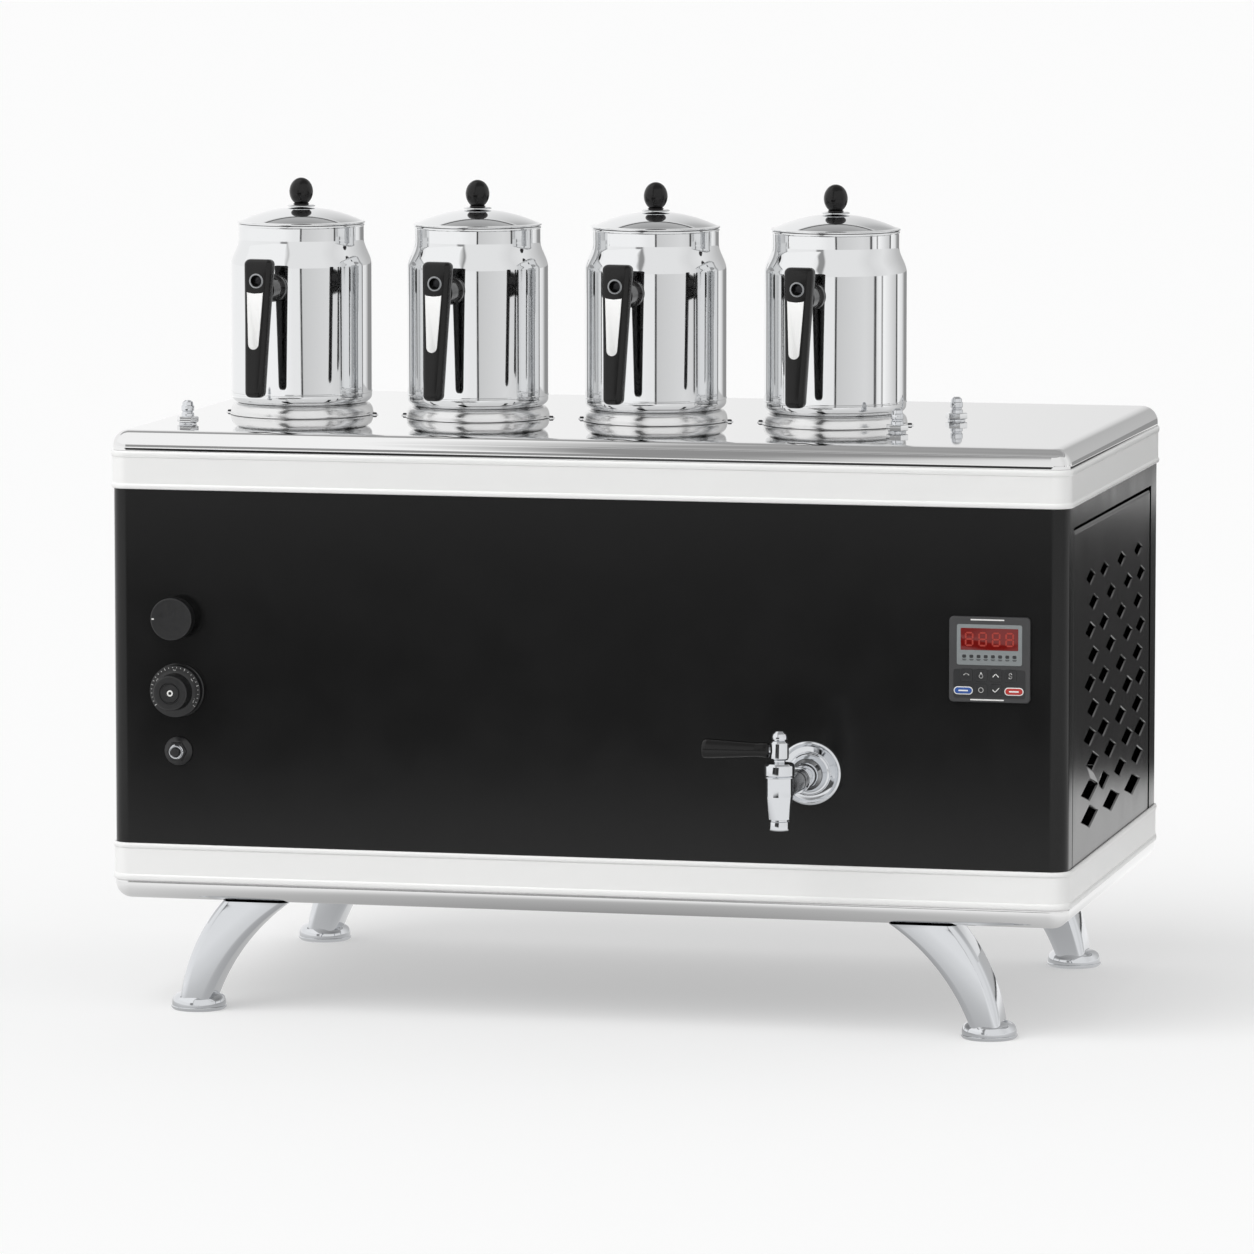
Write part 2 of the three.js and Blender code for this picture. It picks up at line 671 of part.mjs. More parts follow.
// Rows of diamonds, set off to and fro by turns and larger towards the bottom
function diamondCutters() {
  const lowestZ = lowerTrimZ + DIAMOND_FIRST;
  const rowPitch = (ventTopEdge - DIAMOND_TOP_MARGIN - lowestZ) / (DIAMOND_ROWS - 1);
  const pitch = DIAMOND_PITCH * ventWidth;
  const middle = ventMiddleY + DIAMOND_OFFSET * ventWidth;
  const { lerp } = THREE.MathUtils;
  const shapes = [];
  for (let row = 0; row < DIAMOND_ROWS; row += 1) {
    const share = row / (DIAMOND_ROWS - 1);
    const width = row === 0 ? LOW_DIAMOND_WIDTH : lerp(DIAMOND_WIDTH, DIAMOND_TOP_WIDTH, share);
    const height = row === 0 ? LOW_DIAMOND_HEIGHT : lerp(DIAMOND_HEIGHT, DIAMOND_TOP_HEIGHT, share);
    const halfWidth = (width * pitch) / 2;
    const v = lowestZ + row * rowPitch;
    diamondColumns(row).forEach((column) => {
      const u = middle + column;
      const corners = [
        [u + halfWidth, v],
        [u, v + height / 2],
        [u - halfWidth, v],
        [u, v - height / 2],
      ];
      shapes.push(new THREE.Shape(corners.map(([x, y]) => new THREE.Vector2(x, y))));
    });
  }
  const depth = SHEET + 2 * OVERRUN;
  const prisms = new THREE.ExtrudeGeometry(shapes, { depth, bevelEnabled: false });
  return toRight(prisms).translate(sideX - SHEET - OVERRUN, 0, 0);
}

const mirrored = (shape) => geometryOf(asSolid(shape)).scale(-1, 1, 1);

// The x of one edge of a leg at each height: an arc that leaves the foot at one angle and ends at another
function legEdge(footX, footAngle, topAngle, lowZ, topZ) {
  const sinFoot = Math.sin(THREE.MathUtils.degToRad(footAngle));
  const sinTop = Math.sin(THREE.MathUtils.degToRad(topAngle));
  const radius = (topZ - lowZ) / (sinTop - sinFoot);
  return (z) => {
    const sine = sinFoot + (z - lowZ) / radius;
    return footX - radius * (Math.sqrt(1 - sinFoot ** 2) - Math.sqrt(1 - sine ** 2));
  };
}

function footProfile(extra) {
  const radius = FOOT_RADIUS + extra;
  const dome = FOOT_HEIGHT + extra - FOOT_BAND;
  const curve = arc(0, 0, 1, 0, 90, 3).map(([out, up]) => [out * radius, FOOT_BAND + up * dome]);
  const edge = [
    [0, 0],
    [radius - FOOT_CHAMFER, 0],
    [radius, FOOT_CHAMFER],
  ];
  return [...edge, ...curve.slice(0, -1), [0, FOOT_BAND + dome]];
}

const foot = () => revolve(footProfile(0), SMALL_STEPS).translate(footX, 0, 0);

function leg() {
  const lowZ = FOOT_HEIGHT - LEG_SINK;
  const topZ = panZ - FIT;
  const half = LEG_THICK_FOOT / 2;
  const outer = legEdge(footX + half, LEG_OUTER_FOOT_ANGLE, LEG_OUTER_TOP_ANGLE, lowZ, topZ);
  const inner = legEdge(footX - half, LEG_INNER_FOOT_ANGLE, LEG_INNER_TOP_ANGLE, lowZ, topZ);
  const rings = Array.from({ length: LEG_STEPS + 1 }, (_, i) => {
    const z = lowZ + ((topZ - lowZ) * i) / LEG_STEPS;
    const width = outer(z) - inner(z);
    const middle = (outer(z) + inner(z)) / 2;
    return roundedRect(width, LEG_DEPTH, LEG_ROUND, 2).map(([x, y]) => [x + middle, y, z]);
  });
  const seat = revolve(footProfile(FIT), SMALL_STEPS).translate(footX, 0, 0);
  return cut(skin(rings, false), seat);
}

// A raised ring that locates a pot over its hole, built up from the cover's face
function seatRing() {
  const spigot = SEAT_BORE;
  const swell = SEAT_BASE_RADIUS - SEAT_TOP_RADIUS;
  const flare = arc(1, 1, 1, 270, 180, 2).map(([out, up]) => [
    SEAT_TOP_RADIUS + out * swell,
    up * SEAT_HEIGHT,
  ]);
  const inside = [
    [spigot, SEAT_HEIGHT - SHEET],
    [SEAT_TOP_RADIUS - SHEET, SEAT_HEIGHT - SHEET],
    [SEAT_BASE_RADIUS - 2 * SHEET, 0],
  ];
  return revolveRing([
    ...flare,
    [spigot - SHEET, SEAT_HEIGHT],
    [spigot - SHEET, -SEAT_SPIGOT],
    [spigot, -SEAT_SPIGOT],
    ...inside,
  ]);
}

// The pot's outline from its base up, moved inwards by a wall: base, straight wall, shoulder, neck
function potOutline(inset) {
  const steps = SHOULDER_STEPS;
  const base = arc(POT_RADIUS - POT_BASE_ROUND, POT_BASE_ROUND, POT_BASE_ROUND - inset, -90, 0, 2);
  const shoulder = Array.from({ length: steps + 1 }, (_, i) => {
    const share = (1 - Math.cos((Math.PI * i) / steps)) / 2;
    return [
      POT_RADIUS + (POT_NECK_RADIUS - POT_RADIUS) * share - inset,
      POT_SHOULDER + ((POT_NECK - POT_SHOULDER) * i) / steps,
    ];
  });
  return [[0, inset], ...base, ...shoulder, [POT_NECK_RADIUS - inset, POT_RIM]];
}

// A tapering tube that leaves the pot's back wall and rises to the tip
function spout(inset, overrun) {
  const length = SPOUT_REACH + SPOUT_ROOT_RADIUS;
  const height = SPOUT_TIP - SPOUT_LOW;
  const rings = Array.from({ length: SPOUT_STEPS + 1 }, (_, i) => {
    const share = i / SPOUT_STEPS;
    const slope = (height * SPOUT_BEND * share ** (SPOUT_BEND - 1)) / length;
    const tilt = Math.atan(slope);
    const radius = SPOUT_ROOT_RADIUS + (SPOUT_TIP_RADIUS - SPOUT_ROOT_RADIUS) * share - inset;
    const end = i === SPOUT_STEPS ? overrun : 0;
    const y = POT_RADIUS - SPOUT_ROOT_RADIUS + length * share + end * Math.cos(tilt);
    const z = SPOUT_LOW + height * share ** SPOUT_BEND + end * Math.sin(tilt);
    return arc(0, 0, radius, 0, 360, TUBE_SIDES)
      .slice(1)
      .map(([u, v]) => [u, y - v * Math.sin(tilt), z + v * Math.cos(tilt)]);
  });
  return skin(rings, false);
}

function potBody() {
  const topZ = POT_RIM + OVERRUN;
  const outer = revolve([...potOutline(0), [0, POT_RIM]], POT_STEPS);
  const room = [...potOutline(POT_WALL), [POT_NECK_RADIUS - POT_WALL, topZ], [0, topZ]];
  return cut(join(outer, spout(0, 0)), revolve(room, POT_STEPS), spout(SPOUT_WALL, OVERRUN));
}

// A black grip that hangs in front of the wall from a round boss
function potHandle() {
  const inner = POT_RADIUS + HANDLE_GAP;
  const height = GRIP_TOP - GRIP_BOTTOM;
  const edgeShare = GRIP_ROUND / 2 / height;
  const grip = [0, edgeShare, 1 / 2, 1 - edgeShare, 1].map((upShare) => {
    const ends = upShare === 0 || upShare === 1 ? GRIP_ROUND : 0;
    const width = GRIP_WIDTH_BOTTOM + (GRIP_WIDTH_TOP - GRIP_WIDTH_BOTTOM) * upShare - ends;
    const y = inner + GRIP_THICK / 2 + GRIP_LEAN * (1 - upShare);
    const corner = GRIP_ROUND - ends / 2;
    return roundedRect(width, GRIP_THICK - ends, corner, 2).map(([u, v]) => [
      u,
      v - y,
      GRIP_BOTTOM + height * upShare,
    ]);
  });
  const boss = toFront(rod(HANDLE_BOSS_RADIUS, inner + GRIP_THICK / 2)).translate(
    0,
    0,
    HANDLE_BOSS_HEIGHT,
  );
  const wall = rod(POT_RADIUS + FIT / Math.cos(Math.PI / POT_STEPS), POT_RIM, POT_STEPS);
  const lean = GRIP_LEAN * (GRIP_TOP - SCREW_WELL_HEIGHT) / height;
  const face = inner + GRIP_THICK + lean;
  const well = toFront(rod(SCREW_WELL_RADIUS, SCREW_WELL_DEPTH + OVERRUN)).translate(
    0,
    SCREW_WELL_DEPTH - face,
    SCREW_WELL_HEIGHT,
  );
  return cut(join(skin(grip, false), boss), wall, well);
}

// The height of a shallow dome over its rim plane
function domeHeight(radius, rimRadius, height) {
  const sphere = (rimRadius ** 2 + height ** 2) / (2 * height);
  return Math.sqrt(sphere ** 2 - radius ** 2) - (sphere - height);
}

// The lid, from its rim plane up: a stepped dome with a rolled rim, and a skirt inside the neck
function potLid() {
  const rise = LID_DOME - LID_STEP - LID_ROLL;
  const top = (radius) => LID_ROLL + domeHeight(radius, LID_RADIUS, rise);
  const skirt = POT_NECK_RADIUS - POT_WALL - LID_PLAY;
  const stepOut = LID_STEP_RADIUS + LID_STEP;
  const domeRings = [1 / 2, 1].map((share) => {
    const radius = share * LID_STEP_RADIUS;
    return [radius, top(radius) + LID_STEP];
  });
  const inner = LID_STEP_RADIUS - LID_WALL;
  return revolve(
    [
      [0, LID_DOME],
      ...domeRings,
      [stepOut, top(stepOut)],
      [LID_RADIUS, LID_ROLL],
      [LID_RADIUS, 0],
      [skirt, 0],
      [skirt, -LID_SKIRT],
      [skirt - LID_WALL, -LID_SKIRT],
      [skirt - LID_WALL, 0],
      [inner, top(inner) - LID_WALL],
      [0, LID_DOME - LID_WALL],
    ],
    POT_STEPS,
  );
}

// The lid's black knob: a flange, a short neck and a ball
function lidKnob() {
  const neckTop = KNOB_FLANGE_HEIGHT + KNOB_NECK_HEIGHT;
  const half = KNOB_BALL_HEIGHT / 2;
  const lowest = -Math.acos(KNOB_NECK_RADIUS / KNOB_BALL_RADIUS);
  const ball = arc(0, 0, 1, THREE.MathUtils.radToDeg(lowest), 90, 5).map(([out, up]) => [
    out * KNOB_BALL_RADIUS,
    neckTop + (up - Math.sin(lowest)) * half * (2 / (1 - Math.sin(lowest))),
  ]);
  ball[ball.length - 1][0] = 0;
  return revolve(
    [
      [0, 0],
      [KNOB_FLANGE_RADIUS, 0],
      [KNOB_FLANGE_RADIUS - KNOB_FLANGE_HEIGHT, KNOB_FLANGE_HEIGHT],
      [KNOB_NECK_RADIUS, KNOB_FLANGE_HEIGHT],
      ...ball,
    ],
    KNOB_STEPS,
  );
}

// An open stainless tank that hangs by its flange from the cover
function waterTank() {
  const profile = [
    [-TANK_WALL, TANK_WALL],
    [-TANK_WALL, tankHeight],
    [TANK_FLANGE, tankHeight],
    [TANK_FLANGE, tankHeight - TANK_WALL],
    [0, tankHeight - TANK_WALL],
    [0, 0],
  ];
  const shell = sweepRound(profile, tankWidth, tankDepth, TANK_CORNER, false, 3).translate(
    potRowX,
    potRowY,
    tankFloorZ,
  );
  const tapHole = toBack(bore(TAP_PIPE_RADIUS, 2 * OVERRUN)).translate(
    tapX,
    tankFrontY - OVERRUN,
    tapZ,
  );
  const elementHole = toRight(rod(elementHoleRadius, 2 * OVERRUN)).translate(
    tankRightX - OVERRUN,
    potRowY,
    tankFloorZ + ELEMENT_RISE,
  );
  return cut(shell, tapHole, elementHole);
}

// A run of straight pipe between points, with a ball at each elbow
function pipeRun(points, radius, sides = TUBE_SIDES) {
  const vectors = points.map((point) => new THREE.Vector3(...point));
  const pieces = [];
  vectors.slice(1).forEach((end, i) => {
    const along = end.clone().sub(vectors[i]);
    const turn = new THREE.Quaternion().setFromUnitVectors(
      new THREE.Vector3(0, 0, 1),
      along.clone().normalize(),
    );
    const piece = rod(radius, along.length(), sides).applyQuaternion(turn);
    pieces.push(piece.translate(...vectors[i].toArray()));
  });
  vectors.slice(1, -1).forEach((corner) => {
    pieces.push(new THREE.SphereGeometry(radius, sides, sides / 2).translate(...corner.toArray()));
  });
  return join(...pieces);
}

// Two burner tubes along the tank, a cross tube, feet on the pan and the feed from the gas valve
function burner() {
  const z = tankFloorZ - BURNER_DROP;
  const x = [potRowX - BURNER_LENGTH / 2, potRowX + BURNER_LENGTH / 2];
  const y = [potRowY - BURNER_SPREAD / 2, potRowY + BURNER_SPREAD / 2];
  const frame = pipeRun(
    [
      [x[1], y[0], z],
      [x[0], y[0], z],
      [x[0], y[1], z],
      [x[1], y[1], z],
    ],
    BURNER_TUBE_RADIUS,
  );
  const feet = [-1, 1].map((side) => {
    const middle = potRowX + (side * BURNER_FEET_PITCH) / 2;
    return block(
      [middle - BURNER_FOOT / 2, y[0] - BURNER_TUBE_RADIUS / 2, panZ + SHEET + FIT],
      [middle + BURNER_FOOT / 2, y[1] + BURNER_TUBE_RADIUS / 2, z],
    );
  });
  const feed = pipeRun(
    [
      [controlX + VALVE_RADIUS + FIT, pipeY, gasKnobZ],
      [feedX, pipeY, gasKnobZ],
      [feedX, pipeY, z],
      [feedX, y[0], z],
      [x[0], y[0], z],
    ],
    PIPE_RADIUS,
  );
  return join(frame, ...feet, feed);
}

// The gas pipe from its nipple at the back, along the left side and up to the valve
function gasInletPipe() {
  const z = lowerTrimZ + INLET_RISE;
  const pipe = pipeRun(
    [
      [inletX, backY + INLET_REACH, z],
      [inletX, pipeY, z],
      [inletX, pipeY, gasKnobZ],
      [controlX - VALVE_RADIUS - FIT, pipeY, gasKnobZ],
    ],
    PIPE_RADIUS,
  );
  const nut = toBack(rod(INLET_NUT_RADIUS, INLET_NUT_LENGTH, HEXAGON)).translate(
    inletX,
    backY + FIT,
    z,
  );
  return join(pipe, nut);
}

// A valve or switch body behind the front sheet, with its spindle out through the sheet
function withSpindle(body, reach) {
  const spindle = rod(SPINDLE_RADIUS, reach + SHEET + FIT, SMALL_STEPS).translate(0, 0, -SHEET - FIT);
  return join(body, spindle);
}

function gasValve() {
  const body = rod(VALVE_RADIUS, VALVE_LENGTH).translate(0, 0, -VALVE_LENGTH - SHEET - FIT);
  return atControl(withSpindle(body, FIT + SPINDLE_BITE), GAS_KNOB_RISE);
}

function thermostat() {
  const depth = THERMOSTAT_LENGTH;
  const half = THERMOSTAT_SIZE / 2;
  const body = block([-half, -half, -depth - SHEET - FIT], [half, half, -SHEET - FIT]);
  const switchBox = atControl(
    withSpindle(body, BEZEL_THICK + FIT + SPINDLE_BITE),
    THERMOSTAT_RISE,
  );
  const bulbX = tankLeftX - FIT - BULB_RADIUS;
  const z = lowerTrimZ + THERMOSTAT_RISE;
  const capillary = pipeRun(
    [
      [bulbX, frontY + SHEET + depth, z],
      [bulbX, potRowY, z],
    ],
    CAPILLARY_RADIUS,
    HEXAGON,
  );
  const bulb = toBack(rod(BULB_RADIUS, BULB_LENGTH, 8)).translate(bulbX, potRowY, z);
  return join(switchBox, capillary, bulb);
}

// Moves what is built along +Z from the front sheet to its place in the control column
const atControl = (shape, rise) => {
  const geometry = shape.isBufferGeometry ? shape : geometryOf(shape);
  return solid(toFront(geometry).translate(controlX, frontY, lowerTrimZ + rise));
};

function gasKnob() {
  const length = GAS_KNOB_LENGTH;
  const flare = GAS_KNOB_RADIUS - GAS_KNOB_ROOT_RADIUS;
  const shape = revolve([
    [0, FIT],
    [GAS_KNOB_ROOT_RADIUS, FIT],
    [GAS_KNOB_ROOT_RADIUS, length / 3],
    [GAS_KNOB_RADIUS, length / 3 + flare],
    [GAS_KNOB_RADIUS, length - KNOB_ROUND],
    [GAS_KNOB_RADIUS - KNOB_ROUND, length],
    [0, length],
  ]);
  const socket = bore(SPINDLE_RADIUS, SPINDLE_BITE + 2 * FIT);
  return atControl(cut(shape, socket), GAS_KNOB_RISE);
}

function thermostatKnob() {
  const back = BEZEL_THICK + 2 * FIT;
  const skirt = back + DIAL_THICK;
  const shape = revolve([
    [0, back],
    [DIAL_RADIUS, back],
    [DIAL_RADIUS, skirt - KNOB_ROUND],
    [DIAL_RADIUS - KNOB_ROUND, skirt],
    [DIAL_CAP_RADIUS, skirt],
    [DIAL_CAP_RADIUS, DIAL_CAP_LENGTH - KNOB_ROUND],
    [DIAL_CAP_RADIUS - KNOB_ROUND, DIAL_CAP_LENGTH],
    [0, DIAL_CAP_LENGTH],
  ]);
  const socket = bore(SPINDLE_RADIUS, back + SPINDLE_BITE + FIT);
  return atControl(cut(shape, socket), THERMOSTAT_RISE);
}

function dialBezel() {
  const inner = SPINDLE_RADIUS + 2 * FIT;
  const shape = revolveRing([
    [inner, FIT],
    [BEZEL_RADIUS, FIT],
    [BEZEL_RADIUS, FIT + BEZEL_THICK / 2],
    [BEZEL_RADIUS - BEZEL_THICK / 2, FIT + BEZEL_THICK],
    [inner, FIT + BEZEL_THICK],
  ]);
  return atControl(shape, THERMOSTAT_RISE);
}

// The igniter's black flange with its bright ring, held by a shank through the sheet
function igniterBezel() {
  const inner = IGNITER_BUTTON_RADIUS + FIT;
  const shank = igniterShank;
  const flange = IGNITER_FLANGE_RADIUS;
  const thick = IGNITER_FLANGE_THICK;
  const shape = revolveRing(
    [
      [inner, -IGNITER_SHANK_LENGTH],
      [shank, -IGNITER_SHANK_LENGTH],
      [shank, FIT],
      [flange, FIT],
      [flange, thick / 2],
      [flange - thick / 2, thick],
      [shank + SHEET, thick],
      [IGNITER_RING_RADIUS, thick + SHEET],
      [IGNITER_RING_RADIUS, IGNITER_RING_LENGTH],
      [inner, IGNITER_RING_LENGTH],
    ],
    SMALL_STEPS,
  );
  return atControl(shape, IGNITER_RISE);
}

function igniterButton() {
  const top = IGNITER_RING_LENGTH + IGNITER_BUTTON_PROUD;
  const radius = IGNITER_BUTTON_RADIUS;
  const shape = revolve(
    [
      [0, top - IGNITER_BUTTON_LENGTH],
      [radius, top - IGNITER_BUTTON_LENGTH],
      [radius, top - radius / 4],
      [radius - radius / 4, top],
      [0, top],
    ],
    SMALL_STEPS,
  );
  return atControl(shape, IGNITER_RISE);
}

function igniterBody() {
  const front = -IGNITER_SHANK_LENGTH - FIT;
  const body = rod(IGNITER_BODY_RADIUS, IGNITER_BODY_LENGTH).translate(
    0,
    0,
    front - IGNITER_BODY_LENGTH,
  );
  const room = IGNITER_BUTTON_LENGTH;
  const travel = bore(IGNITER_BUTTON_RADIUS, room).translate(0, 0, front + OVERRUN - room);
  return atControl(cut(body, travel), IGNITER_RISE);
}

// Moves what is built along +Z from the front sheet to the controller's place
const atController = (shape, rise) =>
  solid(toFront(geometryOf(asSolid(shape))).translate(controllerX, frontY, controllerZ + rise));

const controllerZ = lowerTrimZ + CONTROLLER_RISE;
const inlayFloor = CONTROLLER_PROUD - INLAY_DEPTH;

// The controller's bezel with recesses for window and keypad, and its box through the sheet
function controllerCase() {
  const face = slab(
    roundedRect(CONTROLLER_WIDTH, CONTROLLER_HEIGHT, CONTROLLER_CORNER, 3),
    CONTROLLER_PROUD - FIT,
  ).translate(0, 0, FIT);
  const box = slab(
    roundedRect(CONTROLLER_BOX, CONTROLLER_BOX, CONTROLLER_CORNER, 1),
    CONTROLLER_BOX_DEPTH + 2 * FIT,
  ).translate(0, 0, -CONTROLLER_BOX_DEPTH);
  const recess = (width, height, rise) =>
    slab(
      roundedRect(width + 2 * FIT, height + 2 * FIT, CONTROLLER_CORNER / 2, 2),
      INLAY_DEPTH + OVERRUN,
    ).translate(0, rise, inlayFloor - FIT);
  return atController(
    cut(
      join(face, box),
      recess(WINDOW_WIDTH, WINDOW_HEIGHT, WINDOW_RISE),
      recess(KEYPAD_WIDTH, KEYPAD_HEIGHT, -KEYPAD_DROP),
    ),
    0,
  );
}

const inlay = (width, height, rise) =>
  atController(
    slab(
      roundedRect(width, height, CONTROLLER_CORNER / 2, 2),
      INLAY_DEPTH + INLAY_PROUD,
    ).translate(0, 0, inlayFloor),
    rise,
  );

// The tap's wall flange with its domed boss and the sleeve round the pipe
function tapFlange() {
  const inner = TAP_PIPE_RADIUS + 2 * FIT;
  const dome = arc(0, 0, 1, 0, 60, 3).map(([out, along]) => [
    TAP_BOSS_RADIUS * out,
    TAP_FLANGE_THICK + TAP_BOSS_LENGTH * along,
  ]);
  const shape = revolveRing([
    [inner, FIT],
    [TAP_FLANGE_RADIUS, FIT],
    [TAP_FLANGE_RADIUS, TAP_FLANGE_THICK / 2],
    [TAP_FLANGE_RADIUS - TAP_FLANGE_THICK, TAP_FLANGE_THICK],
    ...dome.filter(([out]) => out > TAP_SLEEVE_RADIUS),
    [TAP_SLEEVE_RADIUS, TAP_FLANGE_THICK + TAP_BOSS_LENGTH],
    [TAP_SLEEVE_RADIUS, TAP_SLEEVE_END],
    [inner, TAP_SLEEVE_END],
  ]);
  return toFront(shape).translate(tapX, frontY, tapZ);
}

function tapInsulator() {
  const inner = TAP_PIPE_RADIUS + FIT;
  const from = TAP_SLEEVE_END + FIT;
  const to = TAP_REACH - TAP_BODY_RADIUS + FIT;
  const shape = revolveRing(
    [
      [inner, from],
      [TAP_INSULATOR_RADIUS, from],
      [TAP_INSULATOR_RADIUS, to],
      [inner, to],
    ],
    SMALL_STEPS,
  );
  const room = bore(TAP_BODY_RADIUS, TAP_TOP, ROUND_STEPS).translate(
    tapX,
    tapY,
    tapZ - TAP_TOP / 2,
  );
  return cut(toFront(shape).translate(tapX, frontY, tapZ), room);
}

const tapCollarTop = TAP_TOP - TAP_CAP_HEIGHT - TAP_HUB_HEIGHT - TAP_NECK_HEIGHT;
const gripRise = tapCollarTop + TAP_NECK_HEIGHT + TAP_HUB_HEIGHT / 2;

// The upright valve body with its collar and spout, on a pipe from the tank
function tapBody() {
  const low = tapCollarTop - TAP_COLLAR_HEIGHT;
  const step = TAP_COLLAR_RADIUS - TAP_BODY_RADIUS;
  const upright = revolve([
    [0, TAP_SPOUT_END],
    [TAP_SPOUT_RADIUS, TAP_SPOUT_END],
    [TAP_SPOUT_RADIUS, TAP_TAPER_END],
    [TAP_TAPER_RADIUS, TAP_TAPER_END],
    [TAP_BODY_RADIUS, TAP_STRAIGHT_END],
    [TAP_BODY_RADIUS, low],
    [TAP_COLLAR_RADIUS, low],
    [TAP_COLLAR_RADIUS, tapCollarTop - step],
    [TAP_BODY_RADIUS, tapCollarTop],
    [0, tapCollarTop],
  ]).translate(tapX, tapY, tapZ);
  const spindleRoom = bore(TAP_NECK_RADIUS, TAP_SPINDLE_DEPTH + FIT + OVERRUN).translate(
    tapX,
    tapY,
    tapZ + tapCollarTop - TAP_SPINDLE_DEPTH - FIT,
  );
  const mouth = rod(TAP_BORE, -TAP_STRAIGHT_END - TAP_SPOUT_END).translate(
    tapX,
    tapY,
    tapZ + TAP_SPOUT_END - OVERRUN,
  );
  const pipeEnd = tankFrontY + 2 * TANK_WALL;
  const pipe = toBack(rod(TAP_PIPE_RADIUS, pipeEnd - tapY)).translate(tapX, tapY, tapZ);
  const nut = toBack(rod(TAP_SHANK_NUT_RADIUS, TAP_SHANK_NUT_LENGTH, HEXAGON)).translate(
    tapX,
    tankFrontY - FIT - TAP_SHANK_NUT_LENGTH,
    tapZ,
  );
  return cut(join(upright, pipe, nut), spindleRoom, mouth);
}

// The lever's hub with its spindle below, a domed cap nut on top and a stem into the grip
function tapLever() {
  const low = tapCollarTop + FIT;
  const hubLow = tapCollarTop + TAP_NECK_HEIGHT;
  const hubTop = hubLow + TAP_HUB_HEIGHT;
  const edge = TAP_HUB_RADIUS - TAP_CAP_RADIUS;
  const groove = TAP_CAP_RADIUS - TAP_NECK_RADIUS;
  const hub = revolve(
    [
      [0, low - TAP_SPINDLE_DEPTH],
      [TAP_NECK_RADIUS, low - TAP_SPINDLE_DEPTH],
      [TAP_NECK_RADIUS, hubLow],
      [TAP_CAP_RADIUS, hubLow],
      [TAP_HUB_RADIUS, hubLow + edge],
      [TAP_HUB_RADIUS, hubTop - edge],
      [TAP_CAP_RADIUS, hubTop],
      [TAP_NECK_RADIUS, hubTop + groove],
      [TAP_CAP_RADIUS, hubTop + 2 * groove],
      [TAP_CAP_RADIUS, TAP_TOP - groove],
      [TAP_NECK_RADIUS, TAP_TOP],
      [0, TAP_TOP],
    ],
    SMALL_STEPS,
  );
  const stem = toLeft(rod(TAP_STEM_RADIUS, TAP_HUB_RADIUS + TAP_STEM_BITE)).translate(
    0,
    0,
    gripRise,
  );
  return solid(geometryOf(join(hub, stem)).translate(tapX, tapY, tapZ));
}

function tapGrip() {
  const start = TAP_HUB_RADIUS + 2 * FIT;
  const end = start + TAP_GRIP_LENGTH;
  const round = GRIP_RADIUS_END - GRIP_RADIUS_ROOT;
  const grip = revolve(
    [
      [0, start],
      [GRIP_RADIUS_ROOT - round / 2, start],
      [GRIP_RADIUS_ROOT, start + round],
      [GRIP_RADIUS_END, end - 2 * round],
      [GRIP_RADIUS_END - round / 3, end - round / 2],
      [GRIP_RADIUS_ROOT, end],
      [0, end],
    ],
    SMALL_STEPS,
  );
  const socket = bore(TAP_STEM_RADIUS, TAP_HUB_RADIUS + TAP_STEM_BITE + FIT);
  return toLeft(geometryOf(cut(grip, socket))).translate(tapX, tapY, tapZ + gripRise);
}

// A dome-capped vent stud with its nut, and a shank through the cover
function ventStud({ x, y }) {
  const grooveZ = (STUD_NUT_HEIGHT + STUD_HEIGHT) / 2;
  const stem = revolve(
    [
      [0, -STUD_SHANK],
      [STUD_SHANK_RADIUS, -STUD_SHANK],
      [STUD_SHANK_RADIUS, 0],
      [STUD_RADIUS, 0],
      [STUD_RADIUS, grooveZ - STUD_GROOVE],
      [STUD_RADIUS - STUD_GROOVE, grooveZ],
      [STUD_RADIUS, grooveZ + STUD_GROOVE],
      [STUD_RADIUS, STUD_HEIGHT - STUD_RADIUS / 2],
      [STUD_RADIUS / 2, STUD_HEIGHT],
      [0, STUD_HEIGHT],
    ],
    STUD_STEPS,
  );
  const nut = rod(STUD_NUT_RADIUS, STUD_NUT_HEIGHT, HEXAGON);
  return solid(geometryOf(join(stem, nut)).translate(x, y, plateZ + FIT));
}

// The mains lead's gland in the back sheet, left without its lead
function cableGland() {
  const nut = rod(GLAND_RADIUS, GLAND_REACH / 2, HEXAGON).translate(0, 0, FIT);
  const stem = revolve(
    [
      [0, -SHEET - GLAND_REACH / 2],
      [glandShank, -SHEET - GLAND_REACH / 2],
      [glandShank, GLAND_REACH / 2],
      [glandShank - SHEET, GLAND_REACH],
      [0, GLAND_REACH],
    ],
    SMALL_STEPS,
  );
  const way = rod(GLAND_BORE, 2 * GLAND_REACH + OVERRUN).translate(0, 0, -GLAND_REACH);
  const shape = geometryOf(cut(join(nut, stem), way));
  return toBack(shape).translate(glandX, backY, lowerTrimZ + INLET_RISE);
}

